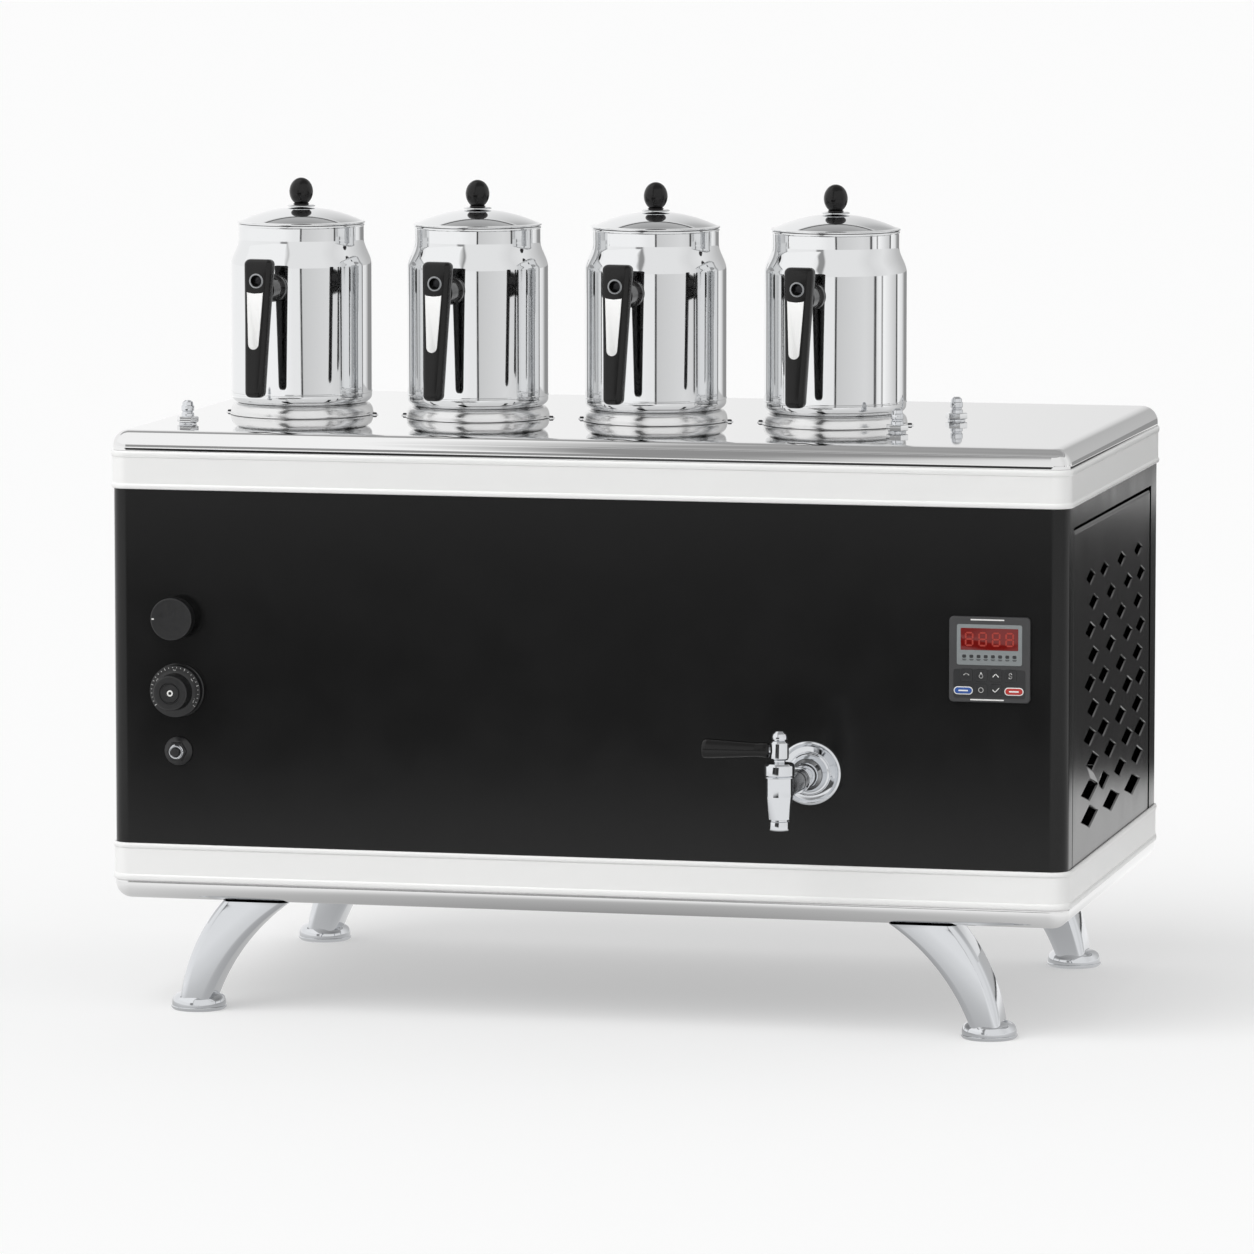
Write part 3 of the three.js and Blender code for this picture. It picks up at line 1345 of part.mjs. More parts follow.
// A hairpin heater through the tank's right wall, with its flange and terminal head outside
function heatingElement() {
  const flange = rod(ELEMENT_FLANGE_RADIUS, ELEMENT_FLANGE_THICK).translate(0, 0, FIT);
  const head = rod(ELEMENT_HEAD_RADIUS, ELEMENT_HEAD_LENGTH).translate(0, 0, ELEMENT_FLANGE_THICK);
  const side = ELEMENT_SPREAD / 2;
  const hairpin = pipeRun(
    [
      [-side, 0, ELEMENT_FLANGE_THICK],
      [-side, 0, -ELEMENT_LENGTH],
      [side, 0, -ELEMENT_LENGTH],
      [side, 0, ELEMENT_FLANGE_THICK],
    ],
    ELEMENT_RADIUS,
    HEXAGON,
  );
  const shape = geometryOf(join(flange, head, hairpin));
  return toRight(shape).translate(tankRightX, potRowY, tankFloorZ + ELEMENT_RISE);
}

// The assembly: everything above stands over the case's middle, and the outline's middle is the origin
const frontReach = TAP_REACH + TAP_COLLAR_RADIUS;
urn.position.y = (frontReach - INLET_REACH) / 2;

add("top_cover", topCover(), polishedSteel);
add("bottom_pan", bottomPan(), polishedSteel);
add("top_trim", upperTrim(), satinAluminium);
add("bottom_trim", lowerTrim(), satinAluminium);
add("front_panel", frontPanel(), blackLacquer);
add("back_panel", backPanel(), blackLacquer);
const vents = ventPanel();
add("right_side_panel", vents, blackLacquer);
add("left_side_panel", mirrored(vents), blackLacquer);

const legShape = leg();
for (const [end, y] of [["front", -footY], ["back", footY]]) {
  for (const [side, turn] of [["left", mirrored], ["right", geometryOf]]) {
    add(`leg_${end}_${side}`, turn(legShape), polishedSteel).position.y = y;
    add(`foot_${end}_${side}`, turn(solid(foot())), polishedSteel).position.y = y;
  }
}

add("water_tank", waterTank(), tankSteel);
add("heating_element", heatingElement(), tankSteel);
add("burner", burner(), castIron);
add("gas_inlet_pipe", gasInletPipe(), brass);
add("gas_valve", gasValve(), brass);
add("thermostat", thermostat(), tankSteel);
add("igniter_body", igniterBody(), blackPlastic);
add("cable_gland", cableGland(), blackPlastic);

add("gas_knob", gasKnob(), blackPlastic);
add("thermostat_knob", thermostatKnob(), blackPlastic);
add("dial_bezel", dialBezel(), blackPlastic);
add("igniter_bezel", igniterBezel(), blackPlastic);
add("igniter_button", igniterButton(), blackPlastic);

add("controller_case", controllerCase(), blackPlastic);
add("display_window", inlay(WINDOW_WIDTH, WINDOW_HEIGHT, WINDOW_RISE), redWindow);
add("keypad", inlay(KEYPAD_WIDTH, KEYPAD_HEIGHT, -KEYPAD_DROP), greyKeypad);

add("tap_flange", tapFlange(), polishedSteel);
add("tap_insulator", tapInsulator(), blackPlastic);
add("tap_body", tapBody(), polishedSteel);
add("tap_lever", tapLever(), polishedSteel);
add("tap_grip", tapGrip(), blackPlastic);

Object.entries(studPlaces).forEach(([name, place]) => {
  add(`vent_stud_${name}`, ventStud(place), polishedSteel);
});

// Each pot is one group, turned so that its handle points a little to the left
const ringShape = seatRing();
const potShape = potBody();
const handleShape = potHandle();
const lidShape = potLid();
const knobShape = lidKnob();
potPlaces.forEach(([x, y], i) => {
  const number = i + 1;
  add(`seat_ring_${number}`, ringShape, polishedSteel).position.set(x, y, plateZ + FIT);
  const pot = new THREE.Group();
  pot.position.set(x, y, potBaseZ);
  pot.rotation.z = THREE.MathUtils.degToRad(POT_TURN);
  urn.add(pot);
  add(`pot_body_${number}`, potShape, polishedSteel, pot);
  add(`pot_handle_${number}`, handleShape, blackPlastic, pot);
  add(`pot_lid_${number}`, lidShape, polishedSteel, pot).position.z = POT_RIM + FIT;
  add(`lid_knob_${number}`, knobShape, blackPlastic, pot).position.z = POT_RIM + LID_DOME + 2 * FIT;
});

export default urn;
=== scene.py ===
# %% [markdown]
# # A counter-top tea boiler with four teapots
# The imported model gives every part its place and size. This file gives each part its finish, and
# makes the rounded, polished and printed forms that a faceted solid can't show.
# Each step has a note first, then a short cell of code.

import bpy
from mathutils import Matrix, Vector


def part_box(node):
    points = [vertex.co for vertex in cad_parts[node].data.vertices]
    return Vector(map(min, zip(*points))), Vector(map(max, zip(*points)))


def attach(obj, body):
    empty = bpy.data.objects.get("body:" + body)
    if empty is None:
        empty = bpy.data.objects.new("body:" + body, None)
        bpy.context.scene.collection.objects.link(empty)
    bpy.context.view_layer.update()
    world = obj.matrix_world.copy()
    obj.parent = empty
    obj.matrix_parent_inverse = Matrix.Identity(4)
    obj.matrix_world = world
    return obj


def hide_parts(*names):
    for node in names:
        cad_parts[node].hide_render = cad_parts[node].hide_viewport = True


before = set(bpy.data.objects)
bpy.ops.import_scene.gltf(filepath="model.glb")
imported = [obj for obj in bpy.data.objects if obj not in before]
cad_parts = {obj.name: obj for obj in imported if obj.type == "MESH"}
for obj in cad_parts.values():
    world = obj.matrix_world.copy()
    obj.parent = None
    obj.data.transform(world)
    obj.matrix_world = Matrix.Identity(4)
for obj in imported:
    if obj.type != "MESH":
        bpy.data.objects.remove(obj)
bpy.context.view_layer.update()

# %% Modules
from math import acos, cos, pi, radians, sin, sqrt, tan

import bmesh
import bpy
from mathutils import Matrix, Vector

scene = bpy.context.scene
MM = 0.001  # shapes are drawn in millimetres, and the frame is in metres


def object_of(name, data):
    """A new object in the scene for a mesh, a camera or a lamp."""
    made = bpy.data.objects.new(name, data)
    scene.collection.objects.link(made)
    return made


print("Blender", bpy.app.version_string)

# %% [markdown]
# ## The camera
# The photograph was taken with a long lens from far away: the long edges of the case stay nearly
# parallel, and its right side shows narrowly. A far camera with a 230 mm lens gives the same flat
# perspective, where a near one would swell the front corner.

# %% Camera
CAMERA_PLACE = (1.701, -7.267, 1.1835)
CAMERA_TILT = 6.37  # degrees below the horizon
CAMERA_TURN = 13.19
LENS = 229.84  # mm, on a sensor 36 mm wide

camera = object_of("camera", bpy.data.cameras.new("camera"))
camera.data.lens = LENS
camera.data.sensor_width = 36
camera.location = CAMERA_PLACE
camera.rotation_euler = (radians(90 - CAMERA_TILT), 0, radians(CAMERA_TURN))
scene.camera = camera
print("camera with a lens of", LENS, "mm")

# %% [markdown]
# ## A helper for nodes
# Materials, the world and Geometry Nodes are all trees of nodes. One small function adds a node with
# its settings and connects its inputs, so that each tree reads as a short list of steps.

# %% Nodes and colours
def node(tree, kind, inputs=(), **settings):
    """Adds a node; each input is a value or the socket of another node.

    inputs is a dictionary by name or identifier, or a row of values in the order of the sockets.
    """
    made = tree.nodes.new(kind)
    for name, value in settings.items():
        setattr(made, name, value)
    for name, value in inputs.items() if isinstance(inputs, dict) else enumerate(inputs):
        if isinstance(name, int):
            socket = made.inputs[name]
        else:
            socket = next(s for s in made.inputs if name in (s.identifier, s.name) and s.enabled)
        if isinstance(value, bpy.types.NodeSocket):
            tree.links.new(value, socket)
        else:
            socket.default_value = value
    return made


def linear(code):
    """An sRGB colour such as #1d1d1e as the linear colour that a shader takes."""
    shares = [int(code[i : i + 2], 16) / 255 for i in (1, 3, 5)]
    return [s / 12.92 if s <= 0.04045 else ((s + 0.055) / 1.055) ** 2.4 for s in shares] + [1.0]


print("middle grey is", round(linear("#808080")[0], 3), "in linear light")

# %% [markdown]
# ## A helper for finishes
# Every finish here is one Principled shader. What tells polished steel from satin steel or lacquer
# is how rough the surface is, how evenly, and what its smallest waves do to a reflection. So the
# helper takes typical values, lets a noise of a real size in millimetres vary the roughness, and
# lets a second one lift the surface by a real depth.

# %% Finishes
SPREAD = (0.35, 0.65)  # nearly all of a noise lies between these values
PLAIN_WEAR = 12  # the blotches of a finish in mm, where nothing else is given


def grain(tree, size, stretch=(1, 1, 1), detail=3.0):
    """Noise whose blotches are about size millimetres, drawn out by stretch along X, Y and Z."""
    place = node(tree, "ShaderNodeTexCoord").outputs["Object"]
    scale = [1 / (size * MM * along) for along in stretch]
    mapped = node(tree, "ShaderNodeMapping", {"Vector": place, "Scale": scale}).outputs["Vector"]
    noise = node(tree, "ShaderNodeTexNoise", {"Vector": mapped, "Scale": 1.0, "Detail": detail})
    return noise.outputs["Fac"]


def finish(name, colour, roughness, metallic=0.0, wear=PLAIN_WEAR, relief=(), tint=None, **sockets):
    """A Principled material. roughness is (least, most), wear the size of its blotches in mm.

    relief is a list of (size, stretch, depth) in mm, and tint is (second colour, size in mm).
    """
    made = bpy.data.materials.new(name)
    made.use_nodes = True
    tree = made.node_tree
    shader = tree.nodes["Principled BSDF"]
    shader.inputs["Base Color"].default_value = linear(colour)
    shader.inputs["Metallic"].default_value = metallic
    for socket, value in sockets.items():
        shader.inputs[socket.replace("_", " ")].default_value = value
    varied = node(tree, "ShaderNodeMapRange", (grain(tree, wear), *SPREAD, *roughness))
    tree.links.new(varied.outputs["Result"], shader.inputs["Roughness"])
    if tint:
        second, size = tint
        mixed = node(tree, "ShaderNodeMix", {
            "Factor": grain(tree, size), "A_Color": linear(colour), "B_Color": linear(second),
        }, data_type="RGBA")
        tree.links.new(mixed.outputs[2], shader.inputs["Base Color"])
    normal = None
    for size, stretch, depth in relief:
        inputs = {"Height": grain(tree, size, stretch), "Distance": depth * MM, "Strength": 1.0}
        if normal:
            inputs["Normal"] = normal
        normal = node(tree, "ShaderNodeBump", inputs).outputs["Normal"]
    if normal:
        tree.links.new(normal, shader.inputs["Normal"])
    return made


print("roughness runs from its least to its most as the noise goes from", *SPREAD)

# %% [markdown]
# ## Metals
# The pots and lids are stainless steel, spun from sheet and buffed to a mirror, so they show bands of
# the room. The legs and the tap are chrome plate, which is a little bluer and smoother still. The
# cover and pan are bright-rolled sheet of the same steel, whose rolling lines run along the case, and
# the rings under the pots are left satin from the spinning, so they show soft greys only. The
# trim bands and the handles' strips are anodised aluminium: its oxide film scatters most of the
# light, so it is softer and whiter than steel, and only a fifth of it acts as bare metal. A metal
# keeps the shader's own IOR, because its colour already says how much light it turns back.

# %% Metal finishes
mirror_steel = finish(
    "mirror_buffed_stainless_steel", "#e4e5e6", (0.03, 0.06), 1.0, wear=9,
    relief=[(34, (1, 1, 2), 0.03), (1.1, (1, 1, 0.2), 0.0008)],
)
sheet_steel = finish(
    "polished_sheet_stainless_steel", "#e6e6e6", (0.025, 0.045), 1.0, wear=25,
    relief=[(0.9, (60, 1, 1), 0.0003), (90, (1, 1, 1), 0.012)],
)
satin_steel = finish(
    "satin_spun_stainless_steel", "#e6e6e6", (0.2, 0.26), 1.0, wear=9,
    relief=[(0.5, (30, 30, 1), 0.0006)],
)
bright_aluminium = finish(
    "bright_anodised_aluminium", "#f8f8f7", (0.33, 0.4), 0.2, wear=18,
    relief=[(1.0, (40, 40, 1), 0.0015)],
)
chrome_plate = finish(
    "chrome_plate_on_brass", "#d8dadd", (0.03, 0.07), 1.0, wear=7,
    relief=[(16, (1, 1, 1), 0.02)],
)
plain_steel = finish(
    "mill_finish_stainless_steel", "#a9abad", (0.3, 0.42), 1.0, wear=30,
    relief=[(2.0, (30, 1, 1), 0.006)], tint=("#97999b", 60),
)
blackened_steel = finish(
    "blackened_steel_screw", "#38383a", (0.28, 0.4), 1.0, wear=2, relief=[(0.4, (1, 1, 1), 0.004)],
)
cast_iron = finish(
    "cast_iron_with_heat_scale", "#3c3b3b", (0.55, 0.8), 0.6, wear=5,
    relief=[(1.6, (1, 1, 1), 0.12)], tint=("#4d4540", 14),
)
drawn_brass = finish(
    "drawn_brass_pipe", "#b8944e", (0.25, 0.4), 1.0, wear=6,
    relief=[(0.8, (1, 30, 1), 0.004)], tint=("#9c7c3e", 22),
)

# %% [markdown]
# ## Lacquer and plastics
# The case sheet is steel with a stoved black lacquer: a smooth coat with a faint orange peel, whose
# waves are about three millimetres apart. The handles are phenolic moulding, black and glossy. Knobs
# and bezels are ABS with a fine spark-eroded grain, which breaks a highlight up softly. Dielectric
# materials of this kind all have an IOR near 1.5. The lacquer and the handles turn back less than
# a new coat does, because fine dust and hand marks dull them.

# %% Lacquer and plastic finishes
black_lacquer = finish(
    "stoved_black_lacquer", "#131313", (0.15, 0.18), wear=40, IOR=1.5, Specular_IOR_Level=0.3,
    relief=[(3.0, (1, 1, 1), 0.003)], tint=("#161616", 160),
)
black_phenolic = finish(
    "moulded_black_phenolic", "#0d0d0d", (0.14, 0.2), wear=8, IOR=1.6, Specular_IOR_Level=0.25,
    relief=[(5.0, (1, 1, 3), 0.008)], tint=("#111010", 20),
)
black_abs = finish(
    "moulded_black_abs", "#161617", (0.3, 0.42), wear=4, IOR=1.53,
    relief=[(0.5, (1, 1, 1), 0.008)],
)
grey_abs = finish(
    "moulded_dark_grey_abs", "#3a3a3b", (0.38, 0.5), wear=4, IOR=1.53,
    relief=[(0.45, (1, 1, 1), 0.01)], tint=("#3f3f40", 25),
)
frame_grey = finish(
    "screen_printed_grey_film", "#868b8c", (0.4, 0.5), wear=3, IOR=1.49,
    relief=[(0.7, (1, 1, 1), 0.003)],
)
red_filter = finish(
    "red_acrylic_filter", "#6a0f0c", (0.05, 0.1), wear=6, IOR=1.49, tint=("#7b1410", 18),
)
lit_segment = finish("unlit_red_display_segment", "#a8382c", (0.3, 0.4), wear=2, IOR=1.49)
key_film = finish(
    "embossed_black_polyester_film", "#17181a", (0.28, 0.36), wear=3, IOR=1.6,
    relief=[(0.6, (1, 1, 1), 0.002)],
)
blue_key_film = finish("embossed_blue_polyester_film", "#1f4f9c", (0.28, 0.36), wear=3, IOR=1.6)
red_key_film = finish("embossed_red_polyester_film", "#b3261e", (0.28, 0.36), wear=3, IOR=1.6)
white_print = finish("white_pad_print", "#ececea", (0.45, 0.6), wear=1, IOR=1.5)
dark_print = finish("dark_pad_print", "#2c2d2f", (0.45, 0.6), wear=1, IOR=1.5)
black_nylon = finish(
    "moulded_black_nylon", "#1a1a1b", (0.4, 0.55), wear=4, IOR=1.53, relief=[(0.6, (1, 1, 1), 0.01)]
)
print(len(bpy.data.materials), "finishes")

# %% [markdown]
# ## Outlines
# Nearly every part here starts as a line of points: half the section of a turned part, or the outline
# of a moulding. The line is drawn with sharp corners, each with the radius that its tool or mould
# gives it, and `soften` puts the arc in. A corner that is truly sharp has no radius.

# %% Outlines with rounded corners
def arc(u, v, radius, start, end, steps):
    """Points on an arc from one angle to another, in degrees."""
    angles = [radians(start + (end - start) * i / steps) for i in range(steps + 1)]
    return [(u + radius * cos(a), v + radius * sin(a)) for a in angles]


def soften(corners, steps=5, closed=False):
    """Rounds each corner (u, v, radius) of a line; a corner (u, v) stays sharp."""
    points = []
    for i, corner in enumerate(corners):
        at_end = not closed and i in (0, len(corners) - 1)
        if len(corner) == 2 or at_end:
            points.append(tuple(corner[:2]))
            continue
        tip = Vector(corner[:2])
        back = (Vector(corners[i - 1][:2]) - tip).normalized()
        on = (Vector(corners[(i + 1) % len(corners)][:2]) - tip).normalized()
        half = back.angle(on) / 2
        middle = tip + (back + on).normalized() * corner[2] / sin(half)
        first = tip + back * corner[2] / tan(half) - middle
        last = tip + on * corner[2] / tan(half) - middle
        sweep = pi - 2 * half
        for step in range(steps + 1):
            share = step / steps
            spoke = first * sin((1 - share) * sweep) + last * sin(share * sweep)
            points.append(tuple(middle + spoke / sin(sweep)))
    return points


def rounded_rect(width, height, radius, steps=6):
    """A rectangle with round corners, anticlockwise from its right side."""
    u, v = width / 2 - radius, height / 2 - radius
    return (
        arc(u, v, radius, 0, 90, steps)
        + arc(-u, v, radius, 90, 180, steps)
        + arc(-u, -v, radius, 180, 270, steps)
        + arc(u, -v, radius, 270, 360, steps)
    )


print("a rectangle with round corners has", len(rounded_rect(2, 1, 0.2)), "points")

# %% [markdown]
# ## Surfaces
# A turned part is its section spun round an axis, a moulding is a row of sections joined, and a sheet
# is an outline drawn up. `skin` joins rings of points into quads and does all three: a ring may also
# be a single point, which closes a dome or a flat end without a hole.

# %% Skinning rings
def skin(bm, rings, closed=False, caps=False):
    """Joins rings of points, or single points, into a surface of quads."""
    made = [[bm.verts.new(point) for point in ring] for ring in rings]
    pairs = list(zip(made, made[1:])) + ([(made[-1], made[0])] if closed else [])
    for low, high in pairs:
        count = max(len(low), len(high))
        for i in range(count):
            j = (i + 1) % count
            corners = [low[i % len(low)], low[j % len(low)], high[j % len(high)], high[i % len(high)]]
            corners = list(dict.fromkeys(corners))
            if len(corners) > 2:
                bm.faces.new(corners)
    if caps:
        bm.faces.new(reversed(made[0]))
        bm.faces.new(made[-1])


TURN_STEPS = 72  # round a turned part, where nothing else is given


def turned(bm, profile, place=Matrix(), steps=TURN_STEPS, closed=False):
    """Spins a section of (radius, height) points in mm round Z, then moves it to its place."""
    rings = []
    for radius, height in profile:
        if radius < MM:
            rings.append([place @ Vector((0, 0, height * MM))])
            continue
        circle = arc(0, 0, radius * MM, 0, 360, steps)[:-1]
        rings.append([place @ Vector((x, y, height * MM)) for x, y in circle])
    skin(bm, rings, closed)


def drawn_up(bm, outline, low, high, place=Matrix(), edge=0.0, steps=3):
    """A plate of an outline in mm from one height to another, with its upper edge rounded."""
    middle_u = sum(u for u, _ in outline) / len(outline)
    middle_v = sum(v for _, v in outline) / len(outline)
    reach = max(u - middle_u for u, _ in outline)
    rise = max(v - middle_v for _, v in outline)
    levels = [(0, low), (0, high - edge)]
    if edge:
        levels = levels[:1] + [(edge * (1 - cos(a)), high - edge + edge * sin(a))
                               for a in (pi / 2 * i / steps for i in range(steps + 1))]
    rings = []
    for inset, height in levels:
        across, along = 1 - inset / reach, 1 - inset / rise
        rings.append([
            place @ Vector((
                (middle_u + (u - middle_u) * across) * MM,
                (middle_v + (v - middle_v) * along) * MM,
                height * MM,
            ))
            for u, v in outline
        ])
    skin(bm, rings, caps=True)


print("a turned part has", TURN_STEPS, "steps round its axis, or more where it is large")

# %% [markdown]
# ## From a surface to a finished piece
# A finished piece is one mesh at the origin, with its place in its points. Doubles are merged first
# and the faces turned outwards after that, because spinning and mirroring can turn a shape inside
# out. Edges sharper than 38 degrees stay crisp and the rest shade smoothly. Then the piece rides on
# the body that carries it, and stands for the imported nodes that it refines.
# What repeats is made once at the origin, and each copy is a mesh of its own, moved in its points.

# %% Finished pieces
SHARP = 38  # degrees


def shape_of(bm, name):
    """The mesh object of a surface, with merged doubles and outward faces."""
    bmesh.ops.remove_doubles(bm, verts=bm.verts, dist=0.0005 * MM)
    bmesh.ops.recalc_face_normals(bm, faces=bm.faces)
    mesh = bpy.data.meshes.new(name)
    bm.to_mesh(mesh)
    bm.free()
    return object_of(name, mesh)


def turned_shape(name, profile, place=Matrix(), steps=TURN_STEPS, closed=False):
    bm = bmesh.new()
    turned(bm, profile, place, steps, closed)
    return shape_of(bm, name)


def drawn_shape(name, outline, low, high, place=Matrix(), edge=0.0, steps=3):
    bm = bmesh.new()
    drawn_up(bm, outline, low, high, place, edge, steps)
    return shape_of(bm, name)


def skinned_shape(name, rings):
    bm = bmesh.new()
    skin(bm, rings, caps=True)
    return shape_of(bm, name)


def tool_rod(radius, low, high, place=Matrix(), steps=48):
    """A plain round rod in mm, which cuts a hole or is joined on as a stem."""
    return turned_shape("cutter", [(0, low), (radius, low), (radius, high), (0, high)], place, steps)


print("edges over", SHARP, "degrees stay crisp")

# %% [markdown]
# A live modifier can't leave this file with its piece, so each one is turned into a plain mesh as
# soon as it is set. `mount` is the last thing that happens to every piece.

# %% Cutting and mounting
def settle(piece):
    """Turns a piece with its modifiers into one plain mesh."""
    graph = bpy.context.evaluated_depsgraph_get()
    mesh = bpy.data.meshes.new_from_object(piece.evaluated_get(graph))
    piece.modifiers.clear()
    piece.data = mesh
    return piece


def carve(piece, *tools, how="DIFFERENCE"):
    """Cuts closed tools out of a piece, or joins them to it."""
    for tool in tools:
        cutter = piece.modifiers.new("cut", "BOOLEAN")
        cutter.operation = how
        cutter.solver = "EXACT"
        cutter.object = tool
    settle(piece)
    for tool in tools:
        bpy.data.objects.remove(tool)
    return piece


def mount(piece, material, body, slot, *nodes):
    """Gives a finished piece its material, its shading, its body and its nodes; slot is not used."""
    piece.data.materials.clear()
    piece.data.materials.append(material)
    piece.data.polygons.foreach_set("material_index", [0] * len(piece.data.polygons))
    piece.data.shade_smooth()
    piece.data.set_sharp_from_angle(angle=radians(SHARP))
    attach(piece, body)
    if nodes:
        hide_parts(*nodes)
    return piece


def copy_to(model, name, place, material, body, slot, *nodes):
    """A copy of a finished shape, with its place in its mesh."""
    mesh = model.data.copy()
    mesh.transform(place)
    return mount(object_of(name, mesh), material, body, slot, *nodes)


def turned_piece(
    name, profile, place, material, body, slot, *nodes, steps=TURN_STEPS, closed=False
):
    return mount(turned_shape(name, profile, place, steps, closed), material, body, slot, *nodes)


print(len(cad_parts), "packed nodes for the finished pieces to stand for")

# %% [markdown]
# ## Where things are
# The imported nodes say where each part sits. The case's four planes come from the black sheets and the
# trims, and each place on the front is a small matrix: what is drawn up along Z there grows out of the
# front, as a knob does.

# %% Places from the frame
def box(name):
    low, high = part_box(name)
    return Vector(low), Vector(high)


def middle(name):
    low, high = box(name)
    return (low + high) / 2


FIT = 0.3  # clearance between pieces that touch
TO_FRONT = Matrix.Rotation(radians(90), 4, "X")
TO_BACK = Matrix.Rotation(radians(-90), 4, "X")


def out_front(x, z):
    """The place of a part that grows out of the front sheet at x and z, in metres."""
    return Matrix.Translation((x, front_y, z)) @ TO_FRONT


def out_back(x, z):
    """The same for a part that grows out of the back sheet."""
    return Matrix.Translation((x, back_y, z)) @ TO_BACK


def on_cover(spot):
    """The place of a part that stands on the cover."""
    return Matrix.Translation((spot.x, spot.y, plate_z + FIT * MM))


sheet_low, sheet_high = box("front_panel")
back_low, back_high = box("back_panel")
front_y, back_y = sheet_low.y, back_high.y
side_x = sheet_high.x
case_middle = Vector((0, (front_y + back_y) / 2, 0))
case_width, case_depth = 2 * side_x / MM, (back_y - front_y) / MM
lower_trim_z = box("bottom_trim")[0].z / MM
upper_trim_z = box("top_trim")[1].z / MM
plate_z = box("top_cover")[1].z
print("case", round(case_width, 1), "by", round(case_depth, 1), "mm, plate at", round(plate_z / MM, 1))

# %% [markdown]
# ## The cover and the pan
# Both are pressed trays of one sheet: a flat face, a rolled edge, and a lip that tucks inside the
# case. The section is carried round the case's outline, corners and all. A second ring lies two
# millimetres inside the roll, so that the flat face stays flat to its reflections and only that
# narrow band shades into the roll. The holes are cut last, one under each seat ring.

# %% Cover and pan
SHEET = 1.2
CASE_CORNER, CORNER_STEPS = 16, 12
EDGE_RADIUS, RIM_PROUD, RIM_ROUND = 15, 0.8, 0.6
LIP = 24
HOLDING_RING = 2
SEAT_BORE = 50
TOOL_REACH = 6  # how far a cutting tool stands out on either side of a sheet


def swept(name, section, closed=False):
    """Carries a section of (outset, height) points in mm round the case's outline."""
    rings = []
    for outset, height in section:
        width, depth = case_width + 2 * outset, case_depth + 2 * outset
        outline = rounded_rect(width, depth, max(CASE_CORNER + outset, FIT), CORNER_STEPS)
        rings.append([(x * MM, y * MM + case_middle.y, height * MM) for x, y in outline])
    bm = bmesh.new()
    skin(bm, rings, closed, caps=not closed)
    return shape_of(bm, name)


def tray_section(rim_z, height, way):
    """From the inside of the flat face over the lip to the outside; way is 1 for up, -1 for down."""
    turn, bend = RIM_PROUD - EDGE_RADIUS, height - EDGE_RADIUS
    lip = -SHEET - FIT
    section = [
        (turn - HOLDING_RING, height - SHEET),
        *arc(turn, bend, EDGE_RADIUS - SHEET, 90, 0, 8),
        (RIM_PROUD - SHEET, SHEET),
        (lip - SHEET, SHEET),
        (lip - SHEET, -LIP),
        (lip, -LIP),
        (lip, 0),
        *soften([(RIM_PROUD - 3, 0), (RIM_PROUD, 0, RIM_ROUND), (RIM_PROUD, 2)], 3)[1:-1],
        *arc(turn, bend, EDGE_RADIUS, 0, 90, 12),
        (turn - HOLDING_RING, height),
    ]
    return [(outset, rim_z + way * up) for outset, up in section]


cover = swept("polished_cover", tray_section(upper_trim_z, plate_z / MM - upper_trim_z, 1))
seats = [middle(f"seat_ring_{i}") for i in (1, 2, 3, 4)]
carve(cover, *(
    tool_rod(SEAT_BORE + FIT, -TOOL_REACH, TOOL_REACH, Matrix.Translation((seat.x, seat.y, plate_z)))
    for seat in seats
))
mount(cover, sheet_steel, "root", "cover_steel", "top_cover")

pan_low = box("bottom_pan")[0].z / MM
pan = swept("polished_pan", tray_section(lower_trim_z, lower_trim_z - pan_low, -1))
mount(pan, sheet_steel, "root", "cover_steel", "bottom_pan")
print("cover with", len(cover.data.polygons), "faces and", len(seats), "holes")

# %% [markdown]
# ## Trim bands
# Two extruded bands hide the raw edges of the black sheet. Each has a flat face between two raised
# beads, a wide one on the bright side and a narrow one on the black side, and it is bent round the
# case's corners. The beads are what draws the bright lines along the case in the photograph.

# %% Trim bands
BEAD, WIDE_BEAD, NARROW_BEAD = 1.1, 6, 5  # height, and the two widths


def band_section(bright_z, black_z):
    """A closed section from the band's wide bead to its narrow one."""
    face = FIT + SHEET
    way = 1 if black_z > bright_z else -1

    def bead(start, end):
        half = arc(0, 0, 1, 0, 180, 10)
        return [(face + BEAD * proud, (start + end) / 2 - along * (end - start) / 2)
                for along, proud in half]

    return (
        [(FIT, bright_z)]
        + bead(bright_z, bright_z + way * WIDE_BEAD)
        + bead(black_z - way * NARROW_BEAD, black_z)
        + [(FIT, black_z)]
    )


for name, bright, black in (("top_trim", 1, 0), ("bottom_trim", 0, 1)):
    ends = [corner.z / MM for corner in box(name)]
    trim = swept(f"{name}_band", band_section(ends[bright], ends[black]), closed=True)
    mount(trim, bright_aluminium, "root", "trim_aluminium", name)
print("trim bands", round(ends[1] - ends[0], 1), "mm high")

# %% [markdown]
# ## The black sheets
# One lacquered sheet wraps the front, both front corners and the frames of the side openings, and a
# second wraps the back. Each is drawn as a surface along the outline, left open where the vent panel
# goes, and Solidify gives it the sheet's thickness inwards. The knobs, the tap's pipe and the
# controller each pass through a hole.

# %% Black sheets
vent_low, vent_high = box("right_side_panel")
split_y = back_low.y - FIT * MM
VENT_TOP_GAP, VENT_FRONT_GAP = 3, 1
header_z = vent_high.z + VENT_TOP_GAP * MM
opening_y = vent_low.y - VENT_FRONT_GAP * MM


